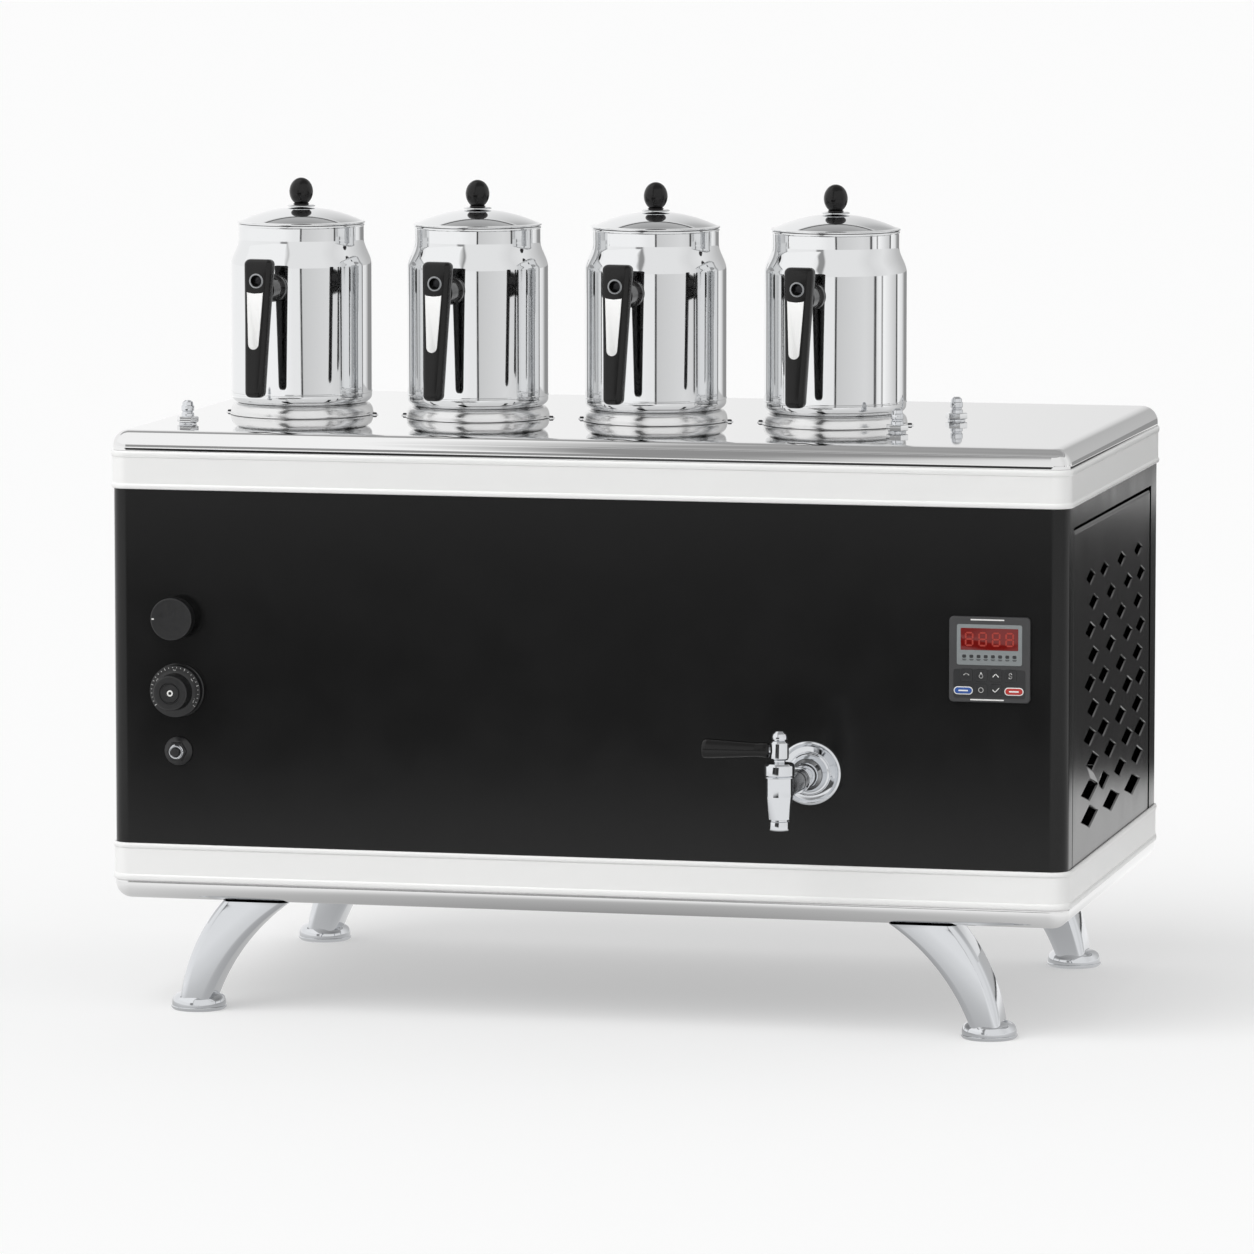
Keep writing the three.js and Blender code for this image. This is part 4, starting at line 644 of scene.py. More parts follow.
def outline_walk(front):
    """Points round one end of the case, from one side's seam to the other, in metres."""
    outline = rounded_rect(case_width, case_depth, CASE_CORNER, CORNER_STEPS)
    points = [Vector((x * MM, y * MM + case_middle.y)) for x, y in outline]
    half = len(points) // 2
    walk = points[half:] if front else points[:half]
    seams = [split_y, opening_y] if front else [split_y + FIT * MM]
    before = [Vector((walk[0].x, y)) for y in seams]
    after = [Vector((walk[-1].x, y)) for y in reversed(seams)]
    return before + walk + after


def wrapped_sheet(name, front):
    walk = outline_walk(front)
    levels = [sheet_low.z, header_z, sheet_high.z]
    bm = bmesh.new()
    rows = [[bm.verts.new((p.x, p.y, z)) for p in walk] for z in levels]
    for low, high, level in zip(rows, rows[1:], levels):
        for i in range(len(walk) - 1):
            in_opening = front and min(walk[i].y, walk[i + 1].y) > opening_y - MM
            if not (in_opening and level < header_z):
                bm.faces.new([low[i], low[i + 1], high[i + 1], high[i]])
    made = shape_of(bm, name)
    outward = made.data.polygons[len(walk) // 2].normal.y * (-1 if front else 1) > 0
    wall = made.modifiers.new("wall", "SOLIDIFY")
    wall.thickness = SHEET * MM
    wall.offset = -1 if outward else 1
    wall.use_even_offset = True
    return settle(made)


print("opening", round((split_y - opening_y) / MM), "mm wide at each side")

# %% [markdown]
# The holes follow the parts that pass through, each with its clearance. The gas pipe's widest part is
# the hexagon nut of its nipple, so its middle is found from the nut's flats.

# %% Holes in the sheets
FRONT_HOLES = {"gas_knob": 4, "thermostat_knob": 4, "igniter_button": 7.4, "tap_flange": 8}
CONTROLLER_HOLE, CONTROLLER_CORNER = 66.6, 4
GLAND_RADIUS, PIPE_RADIUS, INLET_NUT = 9.8, 5, 11
REACH = (-TOOL_REACH, TOOL_REACH)

front_cuts = []
for name, radius in FRONT_HOLES.items():
    centre = middle(name)
    front_cuts.append(tool_rod(radius + FIT, *REACH, out_front(centre.x, centre.z)))
controller = middle("controller_case")
face_place = out_front(controller.x, controller.z)
square = rounded_rect(CONTROLLER_HOLE, CONTROLLER_HOLE, CONTROLLER_CORNER, 3)
front_cuts.append(drawn_shape("cutter", square, *REACH, face_place))
front_sheet = carve(wrapped_sheet("front_sheet", True), *front_cuts)
mount(front_sheet, black_lacquer, "root", "case_lacquer", "front_panel")

gland = middle("cable_gland")
back_place = out_back(gland.x, gland.z)
inlet_x = box("gas_inlet_pipe")[0].x + INLET_NUT * cos(pi / 6) * MM
inlet_place = out_back(inlet_x, gland.z)
back_cuts = [
    tool_rod(radius + FIT, *REACH, place)
    for radius, place in ((GLAND_RADIUS, back_place), (PIPE_RADIUS, inlet_place))
]
back_sheet = carve(wrapped_sheet("back_sheet", False), *back_cuts)
mount(back_sheet, black_lacquer, "root", "case_lacquer", "back_panel")
print("sheets with", len(front_cuts), "holes in front and", len(back_cuts), "behind")

# %% [markdown]
# ## Vented side panels
# Each side is a panel with ten rows of punched diamonds. The rows are set off to and fro by turns,
# and the diamonds grow towards the bottom, where the burner draws its air; the lowest row has one
# less, and larger ones. That is a rule, so Geometry Nodes place the punches: a grid of points, moved
# and sized by row, takes one prism each, and a boolean punches them all out of the plate at once.

# %% The punching tree
ROWS, COLUMNS = 10, 4
ROW_PITCH, COLUMN_PITCH, LOW_PITCH = 24.6, 94, 117.5
ROW_SHIFT = 0.2  # in columns
FIRST_ROW = 71  # over the lower trim's outer edge
PATTERN_SETBACK, PATTERN_REACH = 21, 138.5  # behind the panel's middle, and to either side of that
DIAMOND, TOP_DIAMOND, LOW_DIAMOND = (17.4, 65.8), (13.5, 43.2), (19.3, 83.7)  # height and width
CHAMFER, BREADTH = 1.2, 0.13  # the tapered tool's depth, and how much wider its end is, as a share
MATH = "ShaderNodeMath"


def new_tree(name, sockets):
    """An empty tree of geometry nodes whose inputs have these names, kinds and values."""
    tree = bpy.data.node_groups.new(name, "GeometryNodeTree")
    side = tree.interface
    side.new_socket("Geometry", in_out="INPUT", socket_type="NodeSocketGeometry")
    for label, (kind, value) in sockets.items():
        made = side.new_socket(label, in_out="INPUT", socket_type=kind)
        if value is not None:
            made.default_value = value
    side.new_socket("Geometry", in_out="OUTPUT", socket_type="NodeSocketGeometry")
    return tree


def run_tree(piece, tree, values):
    """Runs a tree on a piece with its named inputs set, and keeps the plain mesh."""
    modifier = piece.modifiers.new(tree.name, "NODES")
    modifier.node_group = tree
    for item in tree.interface.items_tree:
        if item.in_out == "INPUT" and item.name in values:
            modifier[item.identifier] = values[item.name]
    return settle(piece)


def tool_size(diamond):
    """How much a prism of one metre is scaled: upwards, along the panel, and not in depth."""
    height, width = diamond
    return (height * MM, width * MM, 1)


print("diamonds from", *TOP_DIAMOND, "to", *LOW_DIAMOND, "mm")

# %% [markdown]
# A point's number gives its row and column, and those give its place: the rows go to and fro by turns
# and stop at the pattern's ends. The lowest row has a pitch of its own, and its last point is dropped.

# %% Places of the punches
NUMBER, WHOLE, TRIPLE = "NodeSocketFloat", "NodeSocketInt", "NodeSocketVector"
vents = new_tree("punched_diamonds", {
    "Rows": (WHOLE, ROWS), "Columns": (WHOLE, COLUMNS), "Row Pitch": (NUMBER, ROW_PITCH * MM),
    "Column Pitch": (NUMBER, COLUMN_PITCH * MM), "Low Pitch": (NUMBER, LOW_PITCH * MM),
    "Row Shift": (NUMBER, ROW_SHIFT), "Reach": (NUMBER, PATTERN_REACH * MM),
    "Diamond": (TRIPLE, tool_size(DIAMOND)), "Top Diamond": (TRIPLE, tool_size(TOP_DIAMOND)),
    "Low Diamond": (TRIPLE, tool_size(LOW_DIAMOND)), "Chamfer": (NUMBER, CHAMFER * MM),
    "Side": (NUMBER, 1.0), "Start": (TRIPLE, (0, 0, 0)), "Finish": ("NodeSocketMaterial", None),
})
given = node(vents, "NodeGroupInput").outputs
rows, columns, reach = given["Rows"], given["Columns"], given["Reach"]
count = node(vents, MATH, (rows, columns), operation="MULTIPLY").outputs[0]
points = node(vents, "GeometryNodePoints", {"Count": count}).outputs[0]
index = node(vents, "GeometryNodeInputIndex").outputs[0]
row = node(vents, MATH, (index, columns), operation="DIVIDE").outputs[0]
row = node(vents, MATH, (row,), operation="FLOOR").outputs[0]
column = node(vents, MATH, (index, columns), operation="MODULO").outputs[0]
lowest = node(vents, MATH, (row, 0.5), operation="LESS_THAN").outputs[0]
odd = node(vents, MATH, (row, 2), operation="MODULO").outputs[0]
way = node(vents, MATH, (odd, -2, 1), operation="MULTIPLY_ADD").outputs[0]
first = node(vents, MATH, (columns, -0.5, 0.5), operation="MULTIPLY_ADD").outputs[0]
steps_over = node(vents, MATH, (column, first), operation="ADD").outputs[0]
steps_over = node(vents, MATH, (way, given["Row Shift"], steps_over), operation="MULTIPLY_ADD").outputs[0]
across = node(vents, MATH, (steps_over, given["Column Pitch"]), operation="MULTIPLY").outputs[0]
across = node(vents, MATH, (across, reach), operation="MINIMUM").outputs[0]
left_end = node(vents, MATH, (reach, -1), operation="MULTIPLY").outputs[0]
across = node(vents, MATH, (across, left_end), operation="MAXIMUM").outputs[0]
low_across = node(vents, MATH, (column, given["Low Pitch"], left_end), operation="MULTIPLY_ADD").outputs[0]
across = node(vents, "GeometryNodeSwitch", {
    "Switch": lowest, "False": across, "True": low_across,
}, input_type="FLOAT").outputs[0]
upward = node(vents, MATH, (row, given["Row Pitch"]), operation="MULTIPLY").outputs[0]
offset = node(vents, "ShaderNodeCombineXYZ", {"Y": across, "Z": upward}).outputs[0]
spot = node(vents, "ShaderNodeVectorMath", (given["Start"], offset), operation="ADD").outputs[0]
placed = node(vents, "GeometryNodeSetPosition", {"Geometry": points, "Position": spot}).outputs[0]
spare = node(vents, MATH, (columns, 1), operation="SUBTRACT").outputs[0]
spare = node(vents, "FunctionNodeCompare", {
    "A_INT": index, "B_INT": spare,
}, data_type="INT", operation="EQUAL").outputs[0]
kept = node(vents, "GeometryNodeDeleteGeometry", {
    "Geometry": placed, "Selection": spare,
}, domain="POINT").outputs[0]
print("punching tree has", len(vents.nodes), "nodes so far")

# %% [markdown]
# The diamonds shrink row by row, and the lowest ones have a size of their own. The prism is a cylinder
# with four corners, turned so that it lies along X; its own X then stands upright and its Y runs
# along the panel. A second, tapered tool breaks the sharp edge of each hole, and that narrow slope is
# what catches the light.

# %% The punch
top_row = node(vents, MATH, (rows, 1), operation="SUBTRACT").outputs[0]
share = node(vents, MATH, (row, top_row), operation="DIVIDE").outputs[0]
size = node(vents, "ShaderNodeMix", {
    "Factor": share, "A_Vector": given["Diamond"], "B_Vector": given["Top Diamond"],
}, data_type="VECTOR").outputs[1]
size = node(vents, "GeometryNodeSwitch", {
    "Switch": lowest, "False": size, "True": given["Low Diamond"],
}, input_type="VECTOR").outputs[0]
turn = node(vents, MATH, (given["Side"], pi / 2), operation="MULTIPLY").outputs[0]
turn = node(vents, "ShaderNodeCombineXYZ", {"Y": turn}).outputs[0]
prism = node(vents, "GeometryNodeMeshCylinder", {"Vertices": 4, "Radius": 0.5, "Depth": 12 * MM}).outputs[0]
depth = node(vents, MATH, (given["Chamfer"], 2), operation="MULTIPLY").outputs[0]
taper = node(vents, "GeometryNodeMeshCone", {
    "Vertices": 4, "Radius Bottom": 0.5, "Radius Top": 0.5 + BREADTH, "Depth": depth,
}).outputs[0]
sunk = node(vents, MATH, (given["Chamfer"], -1), operation="MULTIPLY").outputs[0]
sunk = node(vents, "ShaderNodeCombineXYZ", {"Z": sunk}).outputs[0]
taper = node(vents, "GeometryNodeTransform", {"Geometry": taper, "Translation": sunk}).outputs[0]
punched = given["Geometry"]
for shape in (prism, taper):
    tools = node(vents, "GeometryNodeInstanceOnPoints", {
        "Points": kept, "Instance": shape, "Rotation": turn, "Scale": size,
    }).outputs[0]
    tools = node(vents, "GeometryNodeRealizeInstances", {"Geometry": tools}).outputs[0]
    punched = node(vents, "GeometryNodeMeshBoolean", {
        "Mesh 1": punched, "Mesh 2": tools,
    }, operation="DIFFERENCE", solver="MANIFOLD").outputs[0]
finished = {"Geometry": punched, "Material": given["Finish"]}
dressed = node(vents, "GeometryNodeSetMaterial", finished).outputs[0]
node(vents, "NodeGroupOutput", {"Geometry": dressed})
print("punching tree has", len(vents.nodes), "nodes")

# %% [markdown]
# The plate itself has its four edges rolled inwards over a small radius. That roll is what shows as a
# thin bright line between the panel and its frame.

# %% Side panels
VENT_ROLL, VENT_CORNER, VENT_FLANGE = 2.5, 4, 10


def vent_plate(name, side):
    """A plate with rolled edges, at the right for side 1 and at the left for side -1."""
    width = (vent_high.y - vent_low.y) / MM
    height = (vent_high.z - vent_low.z) / MM + VENT_FLANGE
    roll = -VENT_ROLL
    section = [
        (roll - HOLDING_RING, -SHEET),
        *arc(roll, roll, VENT_ROLL - SHEET, 90, 0, 5),
        (-SHEET, -VENT_FLANGE),
        (0, -VENT_FLANGE),
        *arc(roll, roll, VENT_ROLL, 0, 90, 6),
        (roll - HOLDING_RING, 0),
    ]
    middle_y = (vent_low.y + vent_high.y) / 2
    middle_z = vent_high.z - height * MM / 2
    rings = []
    for outset, up in section:
        corner = max(VENT_CORNER + outset, FIT)
        outline = rounded_rect(width + 2 * outset, height + 2 * outset, corner, 6)
        x = side * (side_x + up * MM)
        rings.append([(x, middle_y + u * MM, middle_z + v * MM) for u, v in outline])
    return skinned_shape(name, rings)


for name, side in (("right", 1), ("left", -1)):
    pattern_y = (vent_low.y + vent_high.y) / 2 + PATTERN_SETBACK * MM
    start = (side * side_x, pattern_y, (lower_trim_z + FIRST_ROW) * MM)
    panel = run_tree(vent_plate(f"{name}_vent_panel", side), vents, {
        "Start": start, "Side": float(side), "Finish": black_lacquer,
    })
    mount(panel, black_lacquer, "root", "case_lacquer", f"{name}_side_panel")
print("each vent panel has", len(panel.data.polygons), "faces")

# %% [markdown]
# ## Legs and feet
# Each leg is a chrome casting that sweeps outwards and down: its outer and inner edges are arcs that
# leave the foot at one angle and reach the case at another. The sections along it are rectangles with
# broad rounded corners, joined in one skin. The foot is turned, with a dome over a short band.

# %% Legs and feet
LEG_EDGES = ((6, 41, 1), (20, 57, -1))  # degrees at the foot and at the top, and the side
LEG_THICK, LEG_DEPTH, LEG_ROUND = 28, 44, 8
LEG_SINK, LEG_RINGS = 9, 28
FOOT_RADIUS, FOOT_HEIGHT, FOOT_BAND = 26, 17, 3.5
FOOT_FULL = 0.62  # a power under 1 swells the dome out towards its corner


def leg_edge(foot_angle, top_angle, low, high):
    """How far an edge has swung inwards at each height, in mm."""
    start, end = sin(radians(foot_angle)), sin(radians(top_angle))
    radius = (high - low) / (end - start)
    return lambda z: radius * (sqrt(1 - start**2) - sqrt(1 - (start + (z - low) / radius) ** 2))


def leg_rings(foot, side):
    low, high = FOOT_HEIGHT - LEG_SINK, pan_low - FIT
    edges = [(leg_edge(a, b, low, high), out * LEG_THICK / 2) for a, b, out in LEG_EDGES]
    rings = []
    for i in range(LEG_RINGS + 1):
        z = low + (high - low) * i / LEG_RINGS
        outer, inner = [out - swing(z) for swing, out in edges]
        outline = rounded_rect(outer - inner, LEG_DEPTH, LEG_ROUND, 7)
        centre = (outer + inner) / 2
        rings.append([
            (foot.x + side * (u + centre) * MM, foot.y + v * MM, z * MM) for u, v in outline
        ])
    return rings


print("legs of", LEG_THICK, "by", LEG_DEPTH, "mm")

# %% [markdown]
# The foot's dome is fuller than a quarter circle. Its sine and cosine are raised to a power under 1,
# which pushes the curve out towards its corner, as a spun dome is.

# %% Feet, and all four legs
dome_foot, dome_base = FOOT_RADIUS - 0.8, FOOT_BAND + 0.3
dome_height = FOOT_HEIGHT - dome_base
foot_section = soften([
    (0, 0), (FOOT_RADIUS - 2, 0, 1), (FOOT_RADIUS, 2, 1), (FOOT_RADIUS, FOOT_BAND, 0.6),
    (dome_foot, dome_base),
]) + [
    (dome_foot * cos(a) ** FOOT_FULL, dome_base + dome_height * sin(a) ** FOOT_FULL)
    for a in (pi / 2 * i / 14 for i in range(1, 14))
] + [(0, FOOT_HEIGHT)]
for end in ("front", "back"):
    for name, side in (("left", -1), ("right", 1)):
        foot = middle(f"foot_{end}_{name}")
        turned_piece(
            f"round_foot_{end}_{name}", foot_section, Matrix.Translation((foot.x, foot.y, 0)),
            chrome_plate, "root", "leg_chrome", f"foot_{end}_{name}",
        )
        leg = skinned_shape(f"curved_leg_{end}_{name}", leg_rings(foot, side))
        mount(leg, chrome_plate, "root", "leg_chrome", f"leg_{end}_{name}")
print("four legs with", LEG_RINGS + 1, "sections each")

# %% [markdown]
# ## Seat rings
# Under each pot a spun steel ring stands over a hole in the cover. Its skirt flares out to the plate
# in a soft swell, and its tube reaches down through the hole, so the pot's base sits over the steam.
# One section is turned four times, with steps fine enough for the smooth edge that a mirror shows up.

# %% Seat rings
SEAT_TOP, SEAT_BASE, SEAT_SPIGOT = 61.9, 67.9, 6
seat_height = (box("seat_ring_1")[1].z - plate_z) / MM - FIT
seat_section = [
    (SEAT_BORE - SHEET, -SEAT_SPIGOT),
    (SEAT_BORE, -SEAT_SPIGOT),
    (SEAT_BORE, seat_height - SHEET),
    (SEAT_TOP - 1.5 * SHEET, seat_height - SHEET),
    (SEAT_BASE - SHEET, 0),
    (SEAT_BASE, 0),
    (SEAT_BASE + 0.4, 0.5),
    (SEAT_BASE, 1.3),
    *[(SEAT_TOP + (SEAT_BASE - SEAT_TOP - 0.4) * sin(a), 1.3 + (seat_height - 2.1) * cos(a))
      for a in (pi / 2 * (9 - i) / 9 for i in range(10))],
    (SEAT_TOP - 0.8, seat_height),
    (SEAT_TOP - 2.8, seat_height),
    (SEAT_BORE + 1.5, seat_height),
    (SEAT_BORE - SHEET, seat_height - 1.5),
]
for i, seat in enumerate(seats, 1):
    turned_piece(f"spun_seat_ring_{i}", seat_section, on_cover(seat), satin_steel, "root",
                 "cover_steel", f"seat_ring_{i}", steps=128, closed=True)
print("seat rings", round(seat_height, 1), "mm high")

# %% [markdown]
# Two small dark screws hold each ring, in tabs that reach out over the cover at its left and right.
# One pair is made at the origin, with a slot across each head, and copied to every ring.

# %% Tabs and screws of the rings
TAB_REACH, TAB_WIDTH, TAB_THICK = 74.5, 9, 0.6
SCREW_PLACE, SCREW_RADIUS, SCREW_RISE = 71.2, 2.1, 1.4
SLOT_WIDTH, SLOT_DEPTH, SLOT_TURN = 0.8, 0.9, 35
head_line = soften([(0, 0), (SCREW_RADIUS, 0), (SCREW_RADIUS, SCREW_RISE, 1), (0, SCREW_RISE)], 4)
slot_outline = rounded_rect(3 * SCREW_RADIUS, SLOT_WIDTH, 0.1, 1)
heads, tabs, slots = bmesh.new(), bmesh.new(), bmesh.new()
for side in (-1, 1):
    at_screw = Matrix.Translation((side * SCREW_PLACE * MM, 0, TAB_THICK * MM))
    turned(heads, head_line, at_screw, 28)
    slot_place = at_screw @ Matrix.Rotation(radians(SLOT_TURN), 4, "Z")
    drawn_up(slots, slot_outline, SCREW_RISE - SLOT_DEPTH, SCREW_RISE + 1, slot_place)
    tab = rounded_rect(2 * (TAB_REACH - SEAT_BASE), TAB_WIDTH, 4, 6)
    drawn_up(tabs, [(u + side * SEAT_BASE, v) for u, v in tab], 0, TAB_THICK, edge=0.3)
screw_pair = carve(shape_of(heads, "heads"), shape_of(slots, "cutter"))
tab_pair = shape_of(tabs, "tabs")
for i, seat in enumerate(seats, 1):
    copy_to(screw_pair, f"ring_screws_{i}", on_cover(seat), blackened_steel, "root", "cover_steel")
    copy_to(tab_pair, f"ring_tabs_{i}", on_cover(seat), mirror_steel, "root", "cover_steel")
for model in (screw_pair, tab_pair):
    bpy.data.objects.remove(model)
print("screws", round(SCREW_PLACE - SEAT_BASE, 1), "mm outside the rings")

# %% [markdown]
# ## Teapots
# A pot is spun from sheet steel: a rounded base with a fine ridge, a straight wall, a soft shoulder, a
# straight neck and a small rolled rim. The spout at the back is a tapering tube that is welded on. The
# outer form and the spout are joined first, then the room inside and the spout's bore are cut out of
# both, so that the wall is one shell with a real opening. One pot is made, and copied four times.

# %% The pot's wall
POT_RADIUS, NECK_RADIUS, BASE_ROUND = 66.5, 59.3, 7
SHOULDER, NECK, RIM = 130, 155, 169
RIDGE, RIDGE_HEIGHT = 0.45, 10.3  # the fine ridge above the base
POT_WALL, POT_STEPS = 1.2, 128


def pot_wall_line(inset):
    """The wall's line from the middle of the base up to the neck, moved inwards by inset."""
    base_middle = POT_RADIUS - BASE_ROUND
    line = [(0, inset), (base_middle - 6, inset)]
    line += arc(base_middle, BASE_ROUND, BASE_ROUND - inset, -90, 0, 12)
    if inset == 0:
        for proud, up in ((0, -0.9), (RIDGE, -0.4), (RIDGE, 0.4), (0, 0.9)):
            line.append((POT_RADIUS + proud, RIDGE_HEIGHT + up))
    line.append((POT_RADIUS - inset, 14))
    for i in range(25):
        share = (1 - cos(pi * i / 24)) / 2
        radius = POT_RADIUS + (NECK_RADIUS - POT_RADIUS) * share
        line.append((radius - inset, SHOULDER + (NECK - SHOULDER) * i / 24))
    return line


print("pot", 2 * POT_RADIUS, "mm wide and", RIM, "mm high to its rim")

# %% [markdown]
# The spout's middle line rises slowly and then ever faster, so it bends upwards. Each ring stands
# square to that line, and the last ring of the bore runs on past the spout's end, to cut it open.

# %% The spout, and the shell cut open
SPOUT_LOW, SPOUT_TIP, SPOUT_REACH = 72, 157, 42
SPOUT_ROOT, SPOUT_END, SPOUT_WALL = 13, 7.5, 1.5
SPOUT_BEND = 1.6
OVERRUN = 4


def spout_tube(inset, overrun):
    length, height = SPOUT_REACH + SPOUT_ROOT, SPOUT_TIP - SPOUT_LOW
    rings = []
    for i in range(25):
        share = i / 24
        tilt = Vector((length, height * SPOUT_BEND * share ** (SPOUT_BEND - 1))).normalized()
        radius = SPOUT_ROOT + (SPOUT_END - SPOUT_ROOT) * share - inset
        spare = overrun if i == 24 else 0
        y = POT_RADIUS - SPOUT_ROOT + length * share + spare * tilt.x
        z = SPOUT_LOW + height * share**SPOUT_BEND + spare * tilt.y
        rings.append([
            (u * MM, (y - v * tilt.y) * MM, (z + v * tilt.x) * MM)
            for u, v in arc(0, 0, radius, 0, 360, 40)[:-1]
        ])
    return skinned_shape("cutter", rings)


rim_roll = [(NECK_RADIUS, RIM - 2.4), (NECK_RADIUS + 0.5, RIM - 1.9), (NECK_RADIUS + 0.6, RIM - 1),
            (NECK_RADIUS + 0.3, RIM - 0.2), (NECK_RADIUS - 0.3, RIM), (0, RIM)]
pot = turned_shape("teapot", pot_wall_line(0) + rim_roll, steps=POT_STEPS)
carve(pot, spout_tube(0, 0), how="UNION")
room_top = [(NECK_RADIUS - POT_WALL, RIM + OVERRUN), (0, RIM + OVERRUN)]
room = turned_shape("cutter", pot_wall_line(POT_WALL) + room_top, steps=POT_STEPS)
carve(pot, room, spout_tube(SPOUT_WALL, OVERRUN))
print("pot shell with", len(pot.data.polygons), "faces")

# %% [markdown]
# ## The pot's handle
# The handle is a phenolic moulding: a flat block at the top, a round barrel that carries it off the
# wall, and a grip that narrows and swings out a little towards its foot. A screw in a deep well holds
# it, with a steel ring round the well, and a bright strip is let into the face below. The grip is a
# skin of rounded rectangles, and the barrel is joined to it before the well is cut.

# %% The grip and its barrel
HANDLE_GAP = 28
GRIP_THICK, GRIP_WIDE, GRIP_NARROW = 14.5, 28.5, 18
GRIP_TOP, GRIP_BOTTOM, GRIP_LEAN = 141, 12, 12
GRIP_ROUND, GRIP_SWELL = 5, 1.2
BARREL_HEIGHT, BARREL_RADIUS = 112, 13
WELL_HEIGHT, WELL_RADIUS, WELL_DEPTH = 121, 5.5, 6


def grip_at(z):
    """Width, thickness and the distance of the grip's middle from the pot's axis at a height."""
    share = (z - GRIP_BOTTOM) / (GRIP_TOP - GRIP_BOTTOM)
    width = GRIP_NARROW + (GRIP_WIDE - GRIP_NARROW) * share
    swell = GRIP_SWELL * sin(pi * min(max(share, 0), 1)) ** 2
    out = POT_RADIUS + HANDLE_GAP + GRIP_THICK / 2 + GRIP_LEAN * (1 - share)
    return width, GRIP_THICK - swell, out


def grip_rings():
    """Rings whose ends are drawn in as a quarter round, with even steps between them."""
    ends = [(GRIP_ROUND * (1 - sin(a)), GRIP_ROUND * (1 - cos(a))) for a in (pi / 10 * i for i in range(6))]
    step = (GRIP_TOP - GRIP_BOTTOM - 2 * GRIP_ROUND) / 10
    levels = [(GRIP_BOTTOM + up, inset) for up, inset in reversed(ends)]
    levels += [(GRIP_BOTTOM + GRIP_ROUND + i * step, 0) for i in range(1, 10)]
    levels += [(GRIP_TOP - down, inset) for down, inset in ends]
    rings = []
    for z, inset in levels:
        width, thick, out = grip_at(z)
        corner = max(GRIP_ROUND - inset * 0.6, 1.5)
        outline = rounded_rect(width - 2 * inset, thick - 2 * inset, corner, 6)
        rings.append([(u * MM, (v - out) * MM, z * MM) for u, v in outline])
    return rings


grip = skinned_shape("grip", grip_rings())
barrel = soften([
    (0, POT_RADIUS + FIT), (BARREL_RADIUS, POT_RADIUS + FIT, 0.8), (BARREL_RADIUS, POT_RADIUS + 5, 1.5),
    (BARREL_RADIUS - 2, POT_RADIUS + 8, 2), (BARREL_RADIUS - 1, POT_RADIUS + 18, 4),
    (BARREL_RADIUS, POT_RADIUS + HANDLE_GAP + 4), (0, POT_RADIUS + HANDLE_GAP + 6),
])
barrel_place = Matrix.Translation((0, 0, BARREL_HEIGHT * MM)) @ TO_FRONT
carve(grip, turned_shape("cutter", barrel, barrel_place, 56), how="UNION")
wall_tool = tool_rod(POT_RADIUS + FIT, 0, RIM, steps=POT_STEPS)
_, thick, out = grip_at(WELL_HEIGHT)
face_out = out + thick / 2
well_place = Matrix.Translation((0, -face_out * MM, WELL_HEIGHT * MM)) @ TO_FRONT
carve(grip, wall_tool, tool_rod(WELL_RADIUS, -WELL_DEPTH, 3, well_place))
print("grip with", len(grip.data.polygons), "faces")

# %% [markdown]
# The metal parts of the handle are separate pieces: the ring round the well, the blackened screw head
# at its bottom with its slot, and the strip. The strip lies on the leaning face, so it is drawn flat
# and then tilted by the same lean as the grip.

# %% Ring, screw and strip
WELL_FLOOR = -WELL_DEPTH
HEAD_RADIUS, HEAD_HEIGHT, HEAD_TURN = 4.6, 2, 0.6
well_ring = turned_shape("ring", soften([
    (WELL_RADIUS, -2), (WELL_RADIUS + 1.6, -2), (WELL_RADIUS + 1.6, 0.5, 0.5), (WELL_RADIUS, 0.7, 0.3),
    (WELL_RADIUS - 0.3, -1),
]), well_place, 48, closed=True)
screw = turned_shape("screw", soften([
    (0, WELL_FLOOR), (HEAD_RADIUS, WELL_FLOOR), (HEAD_RADIUS, WELL_FLOOR + 1.4, 0.8),
    (1.5, WELL_FLOOR + HEAD_HEIGHT), (0, WELL_FLOOR + HEAD_HEIGHT),
]), well_place, 32)
slot_place = well_place @ Matrix.Rotation(HEAD_TURN, 4, "Z")
head_slot = rounded_rect(10, 1.1, 0.2, 1)
carve(screw, drawn_shape("cutter", head_slot, WELL_FLOOR + 1, WELL_FLOOR + 3, slot_place))

STRIP_TOP, STRIP_FOOT = 111, 57
STRIP_WIDE, STRIP_NARROW, STRIP_SHIFT = 16.5, 10.5, -1
STRIP_INLAY, STRIP_PROUD = -1.2, 0.35
strip_middle, strip_half = (STRIP_TOP + STRIP_FOOT) / 2, (STRIP_TOP - STRIP_FOOT) / 2
_, thick, out = grip_at(strip_middle)
wide = STRIP_WIDE / 2
hollow = [(wide, 0), (wide - 1, -0.8), (0, -1.6), (1 - wide, -0.8), (-wide, 0)]
strip_outline = [(u, strip_half + v) for u, v in hollow]
strip_outline += arc(0, STRIP_NARROW / 2 - strip_half, STRIP_NARROW / 2, 180, 360, 14)
lean = Matrix.Rotation(acos(GRIP_LEAN / (GRIP_TOP - GRIP_BOTTOM)) - pi / 2, 4, "X")
strip_spot = Vector((STRIP_SHIFT, -(out + thick / 2), strip_middle)) * MM
strip_place = Matrix.Translation(strip_spot) @ lean @ TO_FRONT
strip = drawn_shape("strip", strip_outline, STRIP_INLAY, STRIP_PROUD, strip_place, edge=STRIP_PROUD)
print("strip", STRIP_TOP - STRIP_FOOT, "mm long")

# %% [markdown]
# ## Lids and their knobs
# The lid is a shallow spun dome with a narrow flange, a rolled rim that overhangs the neck and a skirt
# that drops inside it. The dome is part of a sphere, so its height at each radius follows from the
# rim and the rise.

